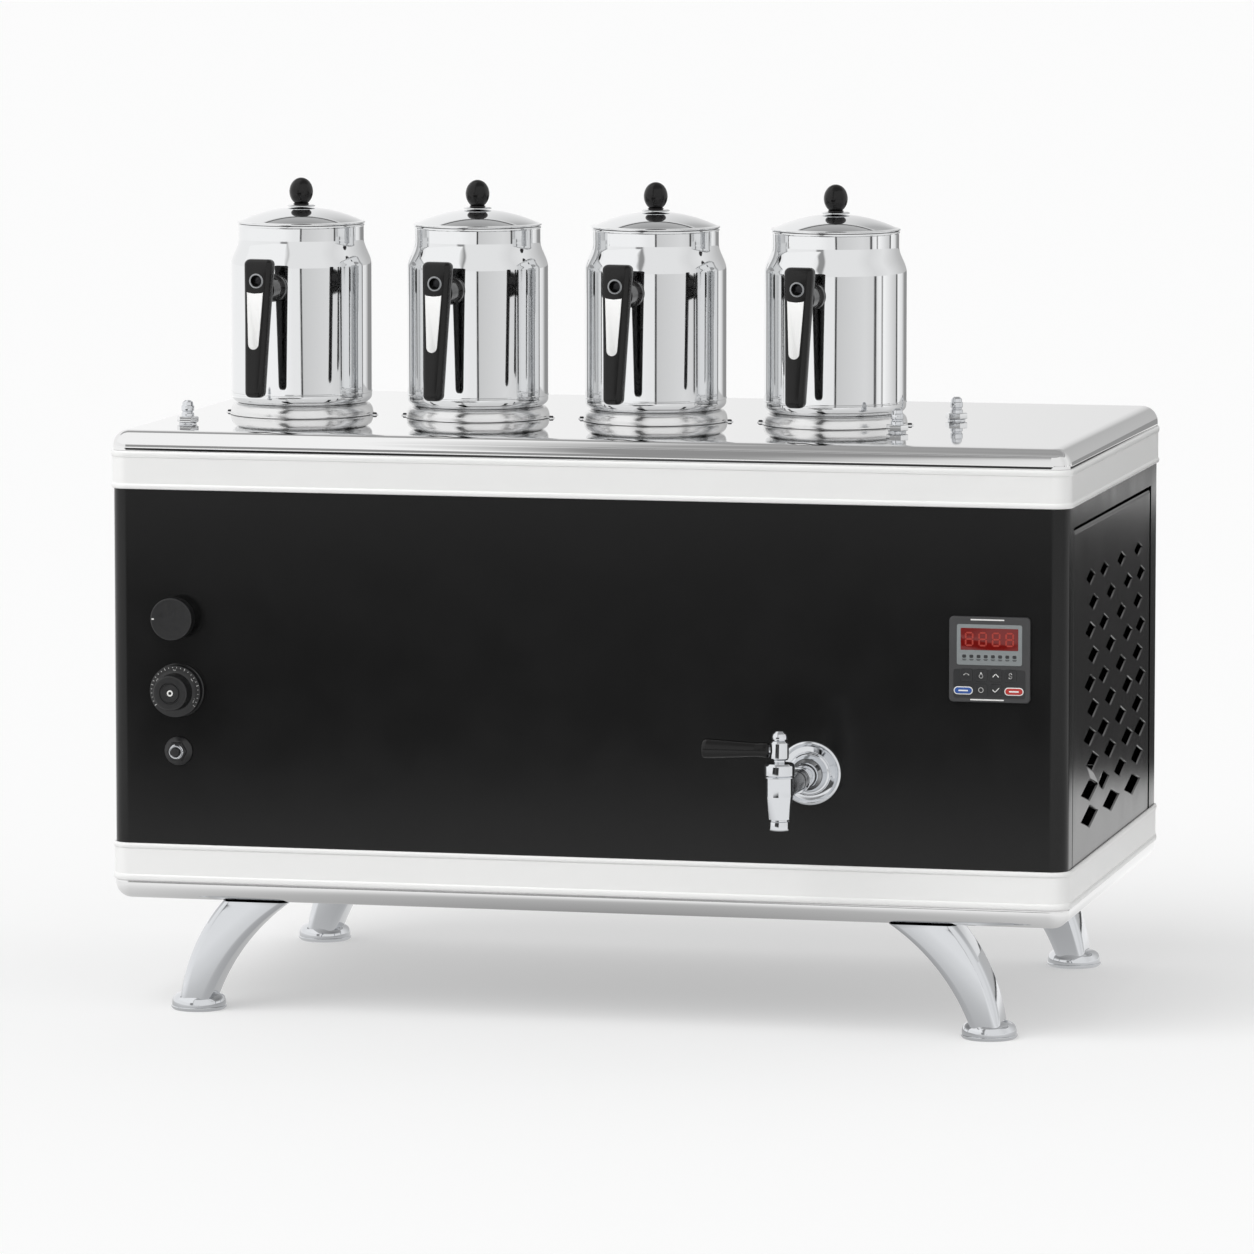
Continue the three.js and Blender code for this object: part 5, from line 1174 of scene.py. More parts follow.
# %% Lid
LID_RADIUS, LID_DOME, LID_WALL, LID_ROLL = 60.5, 15, 1.2, 1.6
LID_SKIRT, LID_PLAY, LID_FLANGE, LID_EDGE = 9, 1.2, 2, 0.9
dome_rise, dome_radius = LID_DOME - LID_ROLL, LID_RADIUS - LID_FLANGE
dome_sphere = (dome_radius**2 + dome_rise**2) / (2 * dome_rise)


def dome(radius):
    """The dome's height at a radius, both in mm."""
    return LID_ROLL + sqrt(dome_sphere**2 - radius**2) - (dome_sphere - dome_rise)


skirt = NECK_RADIUS - POT_WALL - LID_PLAY
lid_line = [(dome_radius * i / 24, dome(dome_radius * i / 24)) for i in range(25)]
lid_line += arc(LID_RADIUS - LID_EDGE, LID_ROLL - 0.7, LID_EDGE, 80, -90, 8)
lid_line += [
    (skirt + 0.6, 0), (skirt, -0.6), (skirt, -LID_SKIRT), (skirt - LID_WALL, -LID_SKIRT),
    (skirt - LID_WALL, 0),
]
inner = skirt - 2 * LID_WALL
lid_line += [(inner * (12 - i) / 12, dome(inner * (12 - i) / 12) - LID_WALL) for i in range(13)]
lid = turned_shape("lid", lid_line, steps=POT_STEPS)
print("lid with", len(lid.data.polygons), "faces, part of a sphere", round(dome_sphere), "mm in radius")

# %% [markdown]
# The black knob is a ball drawn out upwards, on a short neck over a bright washer. The neck's radius
# sets the angle at which the ball begins, so that the two meet without a step.

# %% Ball knob and washer
KNOB_BALL, KNOB_BALL_HEIGHT, KNOB_NECK, NECK_HEIGHT = 11.2, 24.2, 6.2, 0.8
WASHER, WASHER_HEIGHT = 14.2, 2.5
washer = turned_shape("washer", soften([
    (0, 0), (WASHER - 3, 0), (WASHER, 0.5, 0.5), (WASHER - 2.5, WASHER_HEIGHT - 0.6, 1.5),
    (KNOB_NECK + 1, WASHER_HEIGHT), (0, WASHER_HEIGHT),
]), steps=64)
low_angle = -acos(KNOB_NECK / KNOB_BALL)
ball_half = KNOB_BALL_HEIGHT / (1 - sin(low_angle))
neck_top = WASHER_HEIGHT + NECK_HEIGHT
knob_line = [
    (0, WASHER_HEIGHT - 0.5), (KNOB_NECK + 1.2, WASHER_HEIGHT - 0.5),
    (KNOB_NECK + 1.2, WASHER_HEIGHT + 0.4), (KNOB_NECK, WASHER_HEIGHT + 1.2),
    *[(KNOB_BALL * cos(a), neck_top + (sin(a) - sin(low_angle)) * ball_half)
      for a in (low_angle + (pi / 2 - low_angle) * i / 24 for i in range(24))],
    (0, neck_top + KNOB_BALL_HEIGHT),
]
knob = turned_shape("knob", knob_line, steps=64)
print("ball", 2 * KNOB_BALL, "mm wide and", KNOB_BALL_HEIGHT, "mm high")

# %% [markdown]
# ## Four pots in a row
# Every pot is turned by seven degrees, so that its handle points a little to the left of straight
# ahead. Each copy gets its own mesh, moved to its place in the mesh and not by the object.

# %% Placing the pots
POT_TURN = -7  # degrees
pot_z = box("pot_body_1")[0].z
lid_z = pot_z + (RIM + FIT) * MM
knob_z = lid_z + (LID_DOME + FIT) * MM
POT_PIECES = (  # shape, name, height, finish, body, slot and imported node
    (pot, "spun_teapot", pot_z, mirror_steel, "pot", "pot_steel", "pot_body"),
    (grip, "grip", pot_z, black_phenolic, "pot", "grip_plastic", "pot_handle"),
    (well_ring, "grip_ring", pot_z, plain_steel, "pot", "pot_steel"),
    (screw, "grip_screw", pot_z, blackened_steel, "pot", "pot_steel"),
    (strip, "grip_strip", pot_z, bright_aluminium, "pot", "pot_steel"),
    (lid, "spun_lid", lid_z, mirror_steel, "lid", "pot_steel", "pot_lid"),
    (washer, "knob_washer", knob_z, mirror_steel, "lid", "pot_steel"),
    (knob, "ball_knob", knob_z, black_phenolic, "lid", "grip_plastic", "lid_knob"),
)
turn = Matrix.Rotation(radians(POT_TURN), 4, "Z")
for i, seat in enumerate(seats, 1):
    for model, name, z, material, body, slot, *nodes in POT_PIECES:
        place = Matrix.Translation((seat.x, seat.y, z)) @ turn
        copy_to(model, f"{name}_{i}", place, material, f"{body}_{i}", slot, *[f"{n}_{i}" for n in nodes])
for model, *_ in POT_PIECES:
    bpy.data.objects.remove(model)
print("four pots on seats", round((seats[1].x - seats[0].x) / MM), "mm apart")

# %% [markdown]
# ## The gas knob and the thermostat's dial
# Both knobs are moulded ABS. The gas knob is a plain disc that widens from its root, with one white
# mark. The thermostat's dial is a skirt with printed marks and numbers, and a cap with a ring groove.
# The marks repeat round an arc, so a small tree of Geometry Nodes sets them out, every fifth longer.

# %% Knobs
LARGE_STEPS = 96  # round a part wider than about 40 mm
gas = middle("gas_knob")
gas_length = (front_y - box("gas_knob")[0].y) / MM
gas_place = out_front(gas.x, gas.z)
gas_line = soften([
    (0, FIT), (16.5, FIT, 0.4), (16.5, 7.5, 1.5), (19.8, 11.5, 2), (19.8, gas_length, 1.4),
    (17.6, gas_length - 0.15, 0.8), (0, gas_length - 0.9),
], 7)
turned_piece("gas_turn_knob", gas_line, gas_place, black_abs, "gas_knob_body", "knob_plastic",
             "gas_knob", steps=LARGE_STEPS)
MARK_PLACE, MARK_LENGTH, MARK_WIDTH = 17.4, 2.4, 1.2
mark = drawn_shape("gas_knob_mark", rounded_rect(MARK_LENGTH, MARK_WIDTH, 0.5, 3), gas_length - 0.5,
                   gas_length - 0.05, gas_place @ Matrix.Translation((-MARK_PLACE * MM, 0, 0)))
mount(mark, white_print, "gas_knob_body", "knob_plastic")
print("gas knob", round(gas_length, 1), "mm proud")

# %% [markdown]
# The dial has three turned parts: the knob with its skirt and cap, the white ring at its middle, and
# the fixed ring behind it, which stays with the case when the knob turns.

# %% Thermostat dial
dial = middle("thermostat_knob")
DIAL_RADIUS, DIAL_CAP, DIAL_SKIRT = 24.3, 16.4, 12
dial_length = (front_y - box("thermostat_knob")[0].y) / MM
dial_place = out_front(dial.x, dial.z)
dial_line = soften([
    (0, 3), (DIAL_RADIUS, 3, 0.4), (DIAL_RADIUS, DIAL_SKIRT, 1.2), (DIAL_CAP + 3.4, DIAL_SKIRT + 0.4, 1),
    (DIAL_CAP + 0.6, DIAL_SKIRT + 1.4, 1), (DIAL_CAP, dial_length, 1.8), (10.2, dial_length, 0.3),
    (9.6, dial_length - 0.9), (8.8, dial_length - 0.9), (8.2, dial_length, 0.3),
    (4.2, dial_length - 0.2, 0.6), (3.6, dial_length - 1, 0.3), (0, dial_length - 1),
], 6)
turned_piece("thermostat_turn_knob", dial_line, dial_place, black_abs, "thermostat_knob_body",
             "knob_plastic", "thermostat_knob", steps=LARGE_STEPS)
turned_piece("dial_centre_ring", soften([
    (1.5, dial_length - 1.3), (2.9, dial_length - 1.3), (2.9, dial_length - 0.4, 0.3),
    (1.5, dial_length - 0.4, 0.3),
], 3, closed=True), dial_place, white_print, "thermostat_knob_body", "knob_plastic", steps=32, closed=True)
bezel_line = soften([(5, FIT), (25.2, FIT, 0.2), (25.2, 1.8, 0.6), (24.2, 2.7, 0.6), (5, 2.7)], 4)
turned_piece("dial_back_ring", bezel_line, dial_place, black_abs, "root", "knob_plastic", "dial_bezel",
             steps=LARGE_STEPS, closed=True)
print("dial", round(dial_length, 1), "mm proud")

# %% [markdown]
# The tree takes the number of marks, the radius they stand on, the angle they cover and the size of
# one mark. An arc is sampled into points, each point is turned to face the axis, and the instances are
# made real, because a mesh that leaves this file holds no instances.

# %% Dial marks
LONG_MARK, SHORT_MARK = 1.2, 0.6  # shares of the given length
marks = new_tree("marks_on_an_arc", {
    "Count": (WHOLE, 26), "Radius": (NUMBER, 0.02), "Sweep": (NUMBER, pi), "Start": (NUMBER, 0.0),
    "Length": (NUMBER, 0.002), "Width": (NUMBER, 0.0004), "Rise": (NUMBER, 0.00016), "Every": (WHOLE, 5),
    "Finish": ("NodeSocketMaterial", None),
})
given = node(marks, "NodeGroupInput").outputs
points = node(marks, "GeometryNodePoints", {"Count": given["Count"]}).outputs[0]
index = node(marks, "GeometryNodeInputIndex").outputs[0]
gaps = node(marks, MATH, (given["Count"], 1), operation="SUBTRACT").outputs[0]
step = node(marks, MATH, (given["Sweep"], gaps), operation="DIVIDE").outputs[0]
angle = node(marks, MATH, (index, step, given["Start"]), operation="MULTIPLY_ADD").outputs[0]
start = node(marks, "ShaderNodeCombineXYZ", {"X": given["Radius"]}).outputs[0]
spot = node(marks, "ShaderNodeVectorRotate", {
    "Vector": start, "Angle": angle,
}, rotation_type="Z_AXIS").outputs[0]
placed = node(marks, "GeometryNodeSetPosition", {"Geometry": points, "Position": spot}).outputs[0]
order = node(marks, MATH, (index, given["Every"]), operation="MODULO").outputs[0]
is_long = node(marks, MATH, (order, 0.5), operation="LESS_THAN").outputs[0]
more = LONG_MARK - SHORT_MARK
share = node(marks, MATH, (is_long, more, SHORT_MARK), operation="MULTIPLY_ADD").outputs[0]
length = node(marks, MATH, (given["Length"], share), operation="MULTIPLY").outputs[0]
bar = node(marks, "GeometryNodeMeshCube", {"Size": (1, 1, 1)}).outputs[0]
turn = node(marks, "ShaderNodeCombineXYZ", {"Z": angle}).outputs[0]
size = node(marks, "ShaderNodeCombineXYZ", (length, given["Width"], given["Rise"])).outputs[0]
bars = node(marks, "GeometryNodeInstanceOnPoints", {
    "Points": placed, "Instance": bar, "Rotation": turn, "Scale": size,
}).outputs[0]
real = node(marks, "GeometryNodeRealizeInstances", {"Geometry": bars}).outputs[0]
finished = {"Geometry": real, "Material": given["Finish"]}
dressed = node(marks, "GeometryNodeSetMaterial", finished).outputs[0]
node(marks, "NodeGroupOutput", {"Geometry": dressed})
print("tree of marks has", len(marks.nodes), "nodes")

# %% [markdown]
# The marks lie on the skirt, and the figures stand just inside them. Text is a curve, so it is made a
# mesh before it takes its place.

# %% Marks and figures of the dial
LENGTHS = ("Radius", "Length", "Width", "Rise")


def ring_of_marks(name, place, material, body, slot, values):
    """Marks on an arc as one plain mesh, with the lengths among the values in mm."""
    values = {label: value * MM if label in LENGTHS else value for label, value in values.items()}
    made = run_tree(object_of(name, bpy.data.meshes.new(name)), marks, {"Finish": material} | values)
    made.data.transform(place)
    return mount(made, material, body, slot)


DIAL_MARKS, DIAL_SWEEP, DIAL_START = 26, 250, -35
skirt_face = dial_place @ Matrix.Translation((0, 0, (DIAL_SKIRT + 0.22) * MM))
ring_of_marks("dial_marks", skirt_face, white_print, "thermostat_knob_body", "knob_plastic", {
    "Count": DIAL_MARKS, "Sweep": radians(DIAL_SWEEP), "Start": radians(DIAL_START),
    "Radius": 22.4, "Length": 1.9, "Width": 0.4, "Rise": 0.16,
})


def lettering(name, words, size, place):
    """Plain figures as a thin white mesh on the dial."""
    curve = bpy.data.curves.new(name, "FONT")
    curve.body = words
    curve.size = size * MM
    curve.extrude = 0.06 * MM
    curve.align_x = curve.align_y = "CENTER"
    text = object_of(name, curve)
    mesh = bpy.data.meshes.new_from_object(text)
    bpy.data.objects.remove(text)
    mesh.transform(place)
    return mount(object_of(name, mesh), white_print, "thermostat_knob_body", "knob_plastic")


FIGURES, FIGURE_SIZE, FIGURE_CIRCLE = ("30", "50", "70", "90", "110"), 2.9, 19.2
FIRST_FIGURE, FIGURE_STEP = 205, 57  # degrees
for i, figure in enumerate(FIGURES):
    turn = radians(FIRST_FIGURE - FIGURE_STEP * i)
    spot = Vector((FIGURE_CIRCLE * cos(turn), FIGURE_CIRCLE * sin(turn), 0.24)) * MM
    place = skirt_face @ Matrix.Translation(spot) @ Matrix.Rotation(turn - pi / 2, 4, "Z")
    lettering(f"dial_figure_{i + 1}", figure, FIGURE_SIZE, place)
print("dial with", DIAL_MARKS, "marks and", len(FIGURES), "figures")

# %% [markdown]
# ## The igniter
# A push igniter has a black flange with a raised ring, a hexagon nut, and a bright sleeve round the
# black button. A hexagon is turned with six steps, its corners chamfered as a real nut's are.

# %% Igniter
igniter = middle("igniter_button")
igniter_place = out_front(igniter.x, igniter.z)
flange_line = soften([
    (6.9, FIT), (13.5, FIT, 0.3), (13.5, 1.6, 1.2), (9.6, 4.4, 1.5), (8.4, 5, 0.4), (6.9, 5),
], 5)
turned_piece("igniter_flange", flange_line, igniter_place, black_abs, "root", "knob_plastic",
             "igniter_bezel", closed=True)
button_out = (front_y - box("igniter_button")[0].y) / MM
sleeve_line = soften([
    (4.45, -8), (6.9, -8), (6.9, 9.5, 0.3), (6.2, 10.2, 0.3), (6.2, 12, 0.5), (4.45, 12, 0.5),
], 4, closed=True)
turned_piece("igniter_sleeve", sleeve_line, igniter_place, chrome_plate, "root", "knob_plastic",
             steps=56, closed=True)
nut_line = soften([(7, 5.1), (9.2, 5.1), (9.8, 5.7), (9.8, 8, 0.4), (9, 8.6), (7, 8.6)], 2)
turned_piece("igniter_nut", nut_line, igniter_place, black_abs, "root", "knob_plastic",
             steps=6, closed=True)
BUTTON_RADIUS, BUTTON_LENGTH = 4.2, 16
button_line = soften([
    (0, button_out - BUTTON_LENGTH), (BUTTON_RADIUS, button_out - BUTTON_LENGTH),
    (BUTTON_RADIUS, button_out, 0.9), (0, button_out + 0.2),
], 6)
turned_piece("igniter_push_button", button_line, igniter_place, black_abs, "igniter_button_body",
             "knob_plastic", "igniter_button", steps=48)
print("igniter button", round(button_out, 1), "mm proud")

# %% [markdown]
# ## The controller
# A small panel instrument: a dark moulded face with round corners, a grey printed frame round a red
# filter, a row of status symbols, and keys under one embossed film. The symbols are plain shapes, and
# the four figures behind the filter are unlit, so each shows its seven bars only faintly.

# %% The controller's face
CONTROLLER_WIDTH, CONTROLLER_HEIGHT, TOP = 74.5, 78, 4.5
CONTROLLER_BODY, CONTROLLER_DEPTH = 66, 38
bezel = rounded_rect(CONTROLLER_WIDTH, CONTROLLER_HEIGHT, CONTROLLER_CORNER, 8)
housing = rounded_rect(CONTROLLER_BODY, CONTROLLER_BODY, CONTROLLER_CORNER, 3)
bm = bmesh.new()
drawn_up(bm, bezel, FIT, TOP, face_place, 1.2, 5)
drawn_up(bm, housing, -CONTROLLER_DEPTH, FIT, face_place)
mount(shape_of(bm, "controller_moulding"), grey_abs, "root", "controller_plastic", "controller_case")


def on_face(u, v):
    """The place of a part on the controller's face, its middle at u and v in mm."""
    return face_place @ Matrix.Translation((u * MM, v * MM, 0))


def panel_plate(name, size, spot, rise, material, slot, *nodes, edge=0.15):
    """A thin plate; size is (width, height, corner), and rise its two heights over the face in mm."""
    outline = rounded_rect(*size, 5)
    plate = drawn_shape(name, outline, TOP + rise[0], TOP + rise[1], on_face(*spot), edge)
    return mount(plate, material, "root", slot, *nodes)


FILTER_PLACE = (0, 18.6)
panel_plate("window_frame", (60, 37, 2), (0, 13.5), (-0.4, 0.45), frame_grey, "window_red",
            "display_window")
panel_plate("window_filter", (53, 20, 0.8), FILTER_PLACE, (0.1, 0.6), red_filter, "window_red")
panel_plate("symbol_strip", (55.5, 6.4, 0.6), (0, 1.9), (0.1, 0.55), frame_grey, "window_red")
for name, v in (("upper_bar", 36.2), ("lower_bar", -36.6)):
    panel_plate(name, (31, 1.2, 0.5), (-2, v), (-0.2, 0.12), white_print, "controller_plastic", edge=0.05)
print("controller face", CONTROLLER_WIDTH, "by", CONTROLLER_HEIGHT, "mm")

# %% [markdown]
# A figure is seven equal bars, three lying and four standing. Each status symbol is a small block
# over two dashes. All of one kind are one mesh, because they share a finish and never move apart.

# %% Figures and symbols
DISPLAY_FIGURES, FIGURE_WIDTH, FIGURE_HEIGHT, FIGURE_PITCH = 4, 6.4, 11.5, 12.4
BAR, BAR_GAP = 1.5, 0.6


def bar_shape(length):
    """One bar of a figure: a long hexagon."""
    half, thick = length / 2, BAR / 2
    return [(half, 0), (half - thick, thick), (thick - half, thick), (-half, 0),
            (thick - half, -thick), (half - thick, -thick)]


bm = bmesh.new()
high = FIGURE_HEIGHT / 2
flat = [(0, high), (0, 0), (0, -high)]
tall = [(a * FIGURE_WIDTH / 2, b * high / 2) for a in (-1, 1) for b in (-1, 1)]
for i in range(DISPLAY_FIGURES):
    u = (i - (DISPLAY_FIGURES - 1) / 2) * FIGURE_PITCH
    for spots, length, turn in ((flat, FIGURE_WIDTH - BAR_GAP, 0), (tall, high - BAR_GAP, pi / 2)):
        for x, y in spots:
            place = on_face(u + x, FILTER_PLACE[1] + y) @ Matrix.Rotation(turn, 4, "Z")
            drawn_up(bm, bar_shape(length), TOP + 0.5, TOP + 0.66, place)
mount(shape_of(bm, "display_figures"), lit_segment, "root", "window_red")

SYMBOLS, SYMBOL_PITCH = 8, 6.6
SYMBOL_PARTS = ((3.6, 3.0, 2.9), (4.2, 0.5, 0.2), (2.8, 0.5, -0.6))  # width, height and place
bm = bmesh.new()
for i in range(SYMBOLS):
    u = (i - (SYMBOLS - 1) / 2) * SYMBOL_PITCH
    for width, height, v in SYMBOL_PARTS:
        outline = rounded_rect(width, height, min(width, height) * 0.3, 3)
        drawn_up(bm, outline, TOP + 0.4, TOP + 0.62, on_face(u, v))
mount(shape_of(bm, "status_symbols"), dark_print, "root", "window_red")
print(DISPLAY_FIGURES, "figures of seven bars, and", SYMBOLS, "status symbols")

# %% [markdown]
# The keys stand a little proud under the film: six square ones in two rows, and at the ends of the
# lower row a blue and a red one with round ends, each with a white outline and a white bar.

# %% Keys
KEY, KEY_RISE = 11.2, 1.0
KEY_COLUMNS, KEY_ROWS = (-21, -7.5, 6, 19.5), (-14.2, -27.6)
LONG_KEY_ROW, LONG_KEYS = -28.4, (("blue", -23.8, blue_key_film), ("red", 22.8, red_key_film))
panel_plate("key_film", (66, 26, 2), (0, -22), (-0.4, 0.3), key_film, "keypad_film", "keypad")
key_spots = [(u, KEY_ROWS[0]) for u in KEY_COLUMNS] + [(u, KEY_ROWS[1]) for u in KEY_COLUMNS[1:3]]
bm = bmesh.new()
for spot in key_spots:
    drawn_up(bm, rounded_rect(KEY, KEY, 2, 5), TOP + 0.1, TOP + KEY_RISE, on_face(*spot), 0.5, 4)
mount(shape_of(bm, "square_keys"), key_film, "root", "keypad_film")
for name, u, material in LONG_KEYS:
    spot = (u, LONG_KEY_ROW)
    for part, size, rise, colour, edge in (
        ("key_outline", (17.5, 7.2, 3.5), (0.1, KEY_RISE - 0.25), white_print, 0.15),
        ("key", (16.1, 5.8, 2.85), (0.1, KEY_RISE), material, 0.5),
        ("key_bar", (9, 1.3, 0.6), (KEY_RISE - 0.1, KEY_RISE + 0.08), white_print, 0.04),
    ):
        panel_plate(f"{name}_{part}", size, spot, rise, colour, "keypad_film", edge=edge)
print(len(key_spots), "square keys and", len(LONG_KEYS), "long ones")

# %% [markdown]
# Each square key has a plain white symbol, built from thin strokes: an arc, a drop, a chevron, a
# curve, a ring and a tick. All six are one mesh, because they are one print.

# %% Symbols on the keys
STROKE = 0.7


def stroke(bm, points, width, u, v):
    """A line of even width through points in mm, raised on a key."""
    for a, b in zip(points, points[1:]):
        along = Vector(b) - Vector(a)
        centre = (Vector(a) + Vector(b)) / 2
        turn = Matrix.Rotation(-Vector((1, 0)).angle_signed(along), 4, "Z")
        dash = rounded_rect(along.length + width, width, width * 0.45, 3)
        drawn_up(bm, dash, TOP + KEY_RISE - 0.1, TOP + KEY_RISE + 0.07,
                 on_face(u + centre.x, v + centre.y) @ turn)


drop = arc(0, -0.8, 1.7, -240, 60, 10)
symbols = [
    arc(0, -1.2, 2.6, 30, 150, 6),
    drop + [(0, 2.8), drop[0]],
    [(-2.6, -1.2), (0, 1.6), (2.6, -1.2)],
    arc(0, 1.1, 1.3, 20, 270, 6) + arc(0, -1.3, 1.3, 90, -160, 6),
    arc(0, 0, 2.2, 0, 360, 12),
    [(-2.6, 0.4), (-0.6, -1.8), (3, 2)],
]
bm = bmesh.new()
for (u, v), symbol in zip(key_spots, symbols):
    stroke(bm, symbol, STROKE, u, v)
mount(shape_of(bm, "key_symbols"), white_print, "root", "keypad_film")
print(len(symbols), "symbols")

# %% [markdown]
# ## The tap
# A lever tap: a wall flange with a domed boss and a sleeve, a black insulating section, then an
# upright valve body with its spout. Above it the lever's hub turns on a thin neck, with a domed cap
# on top. All of it is turned from brass and chrome plated, but for the black parts. The flange comes
# first, and the sleeve reaches from it into the upright body.

# %% Tap flange and sleeve
HUB_RADIUS, VALVE_RADIUS = 8.4, 12.2
tap = middle("tap_flange")
tap_axis_y = box("tap_lever")[1].y - HUB_RADIUS * MM
tap_place = Matrix.Translation((tap.x, tap_axis_y, tap.z))
tap_wall = out_front(tap.x, tap.z)
tap_reach = (front_y - tap_axis_y) / MM
flange_line = soften([
    (8.6, FIT), (29.5, FIT, 0.4), (29.5, 3.2, 1.5), (27.4, 4.1, 0.9), (24.6, 3.1, 2), (19.6, 2.7, 0.6),
    (18.8, 4.4, 0.5), (17.2, 4.6, 0.6), (16.5, 8, 3), (14.6, 14.5, 5), (11.6, 18.6, 1.5),
    (11, 22, 2), (11, 49.5, 1), (12.2, 54, 0.5), (8.6, 54),
], 7)
turned_piece("tap_wall_flange", flange_line, tap_wall, chrome_plate, "root", "tap_chrome", "tap_flange",
             steps=LARGE_STEPS, closed=True)
insulator_end = tap_reach - VALVE_RADIUS + 1.2
insulator_line = soften([
    (8.3, 54.3), (9.6, 54.3, 0.3), (9.6, 63, 0.4), (9.1, 63.6), (9.1, 64.4), (9.6, 65, 0.3),
    (9.6, insulator_end), (8.3, insulator_end),
], 3)
turned_piece("tap_insulating_sleeve", insulator_line, tap_wall, black_phenolic, "root", "grip_plastic",
             "tap_insulator", steps=64, closed=True)
print("tap reaches", round(tap_reach), "mm from the case")

# %% [markdown]
# The upright body is one turned line from the spout's mouth to the collar, joined to the pipe that
# runs back through the case into the tank. A hexagon nut holds the pipe there.

# %% Tap body and its pipe
COLLAR, COLLAR_TOP, COLLAR_WELL = 13.8, 25.5, 8.6
PIPE, NUT_FRONT, NUT_BACK = 8, 8.3, 0.3
TANK_FLANGE = 14  # how far the tank's front wall lies behind the front of its flange
body_line = soften([
    (0, -20), (6, -20), (6, -35, 0.3), (8.2, -35, 0.4), (9, -34, 0.8), (9, -27.2, 0.3), (8.2, -26.6),
    (8.2, -25.4), (10, -25, 0.3), (VALVE_RADIUS, -4.4, 1.5), (VALVE_RADIUS, 12.4, 0.3),
    (COLLAR, 12.6, 0.2), (COLLAR, 13.5, 0.2), (COLLAR - 1, 13.8), (COLLAR, 15.1, 0.4),
    (COLLAR, 23.6, 1.5), (COLLAR - 1.6, COLLAR_TOP, 0.5), (5.8, COLLAR_TOP),
    (5.8, COLLAR_TOP - COLLAR_WELL), (0, COLLAR_TOP - COLLAR_WELL),
], 6)
body = turned_shape("tap_upright_body", body_line, tap_place, LARGE_STEPS)
pipe_reach = (box("tap_body")[1].y - tap_axis_y) / MM
into_tank = tap_place @ TO_BACK
carve(body, tool_rod(PIPE, 0, pipe_reach, into_tank), how="UNION")
mount(body, chrome_plate, "root", "tap_chrome", "tap_body")

tank_front = (box("water_tank")[0].y - tap_axis_y) / MM + TANK_FLANGE
low, high = tank_front - NUT_FRONT, tank_front - NUT_BACK
turned_piece("tap_back_nut", soften([
    (8.1, low), (15.5, low), (17, low + 0.9, 0.4), (17, high - 0.9, 0.4), (15.5, high), (8.1, high),
], 2), into_tank, drawn_brass, "root", "tap_chrome", steps=6, closed=True)
print("pipe", round(pipe_reach), "mm long")

# %% [markdown]
# The hub carries the lever to the left of the tap, a steel rod inside a black grip that swells
# towards its end. Hub, rod and grip ride on the body that turns, and all the rest stays.

# %% Tap lever
HUB_LOW, HUB_HIGH, TAP_TOP = 28.5, 45.5, 54.5
ROD_RADIUS, ROD_LENGTH = 3.6, 22.4
lever_line = soften([
    (0, 17.8), (5.4, 17.8), (5.4, HUB_LOW, 0.5), (7.4, HUB_LOW, 0.5), (HUB_RADIUS, 30.2, 1),
    (HUB_RADIUS, 43.8, 1), (7, HUB_HIGH, 0.5), (5.8, 46.1), (5.8, 46.7), (7.2, 47.2, 0.4),
    (7.2, 49.4, 0.5), (6.4, 52, 2), (3.6, TAP_TOP, 1.5), (0, TAP_TOP),
], 6)
lever = turned_shape("tap_lever_hub", lever_line, tap_place)
to_left = Matrix.Rotation(radians(-90), 4, "Y")
grip_place = tap_place @ Matrix.Translation((0, 0, (HUB_LOW + HUB_HIGH) / 2 * MM)) @ to_left
carve(lever, tool_rod(ROD_RADIUS, 0, ROD_LENGTH, grip_place, 40), how="UNION")
mount(lever, chrome_plate, "tap_lever_body", "tap_chrome", "tap_lever")
turned_piece("tap_lever_grip", soften([
    (3.95, 9), (5.3, 9, 0.6), (6.8, 10.6, 1), (6.8, 14, 3), (6.4, 22, 8), (8.9, 62, 12), (9.2, 66, 3),
    (8.8, 69.5, 2.5), (6, 71, 1.5), (0, 71), (0, 22.8), (3.95, 22.8),
], 7), grip_place, black_phenolic, "tap_lever_body", "grip_plastic", "tap_grip", closed=True)
print("hub", round(HUB_HIGH - HUB_LOW), "mm high")

# %% [markdown]
# ## Studs and nuts
# Three dome-topped studs stand in the cover, each with a washer and a hexagon nut, and one shape
# serves all three. A hexagon is a part turned in six steps.

# %% Studs
studs = [f"vent_stud_{side}" for side in ("left", "middle", "right")]
stud_line = soften([
    (0, -14), (4, -14), (4, 0), (8.4, 0), (8.4, 1, 0.3), (6, 1.2), (6, 9.5, 0.4), (5, 10.6, 0.4),
    (5, 11.4, 0.4), (6, 12.4, 0.5), (6, 16.5, 0.8), (5.2, 17.3, 0.4), (4.9, 20.2, 1.6), (2.6, 22, 1.2),
    (0, 22),
], 4)
hexagon_line = soften([
    (6.02, 1.25), (9.4, 1.25), (10.4, 1.9, 0.2), (10.4, 6.4, 0.2), (9.4, 7), (6.02, 7),
], 2)
for name in studs:
    place = on_cover(middle(name))
    turned_piece(name.replace("vent_stud", "domed_stud"), stud_line, place, chrome_plate, "root",
                 "cover_steel", name, steps=56)
    turned_piece(name.replace("vent_stud", "stud_nut"), hexagon_line, place, mirror_steel, "root",
                 "cover_steel", steps=6, closed=True)
print(len(studs), "studs")

# %% [markdown]
# ## The back fittings
# The mains gland is a nylon nut, a body and a cap with ribs to grip it by. The ribs come from the same
# tree as the dial's marks, carried right round and drawn up long. The gas pipe ends in a brass nipple
# whose barbs hold a hose.

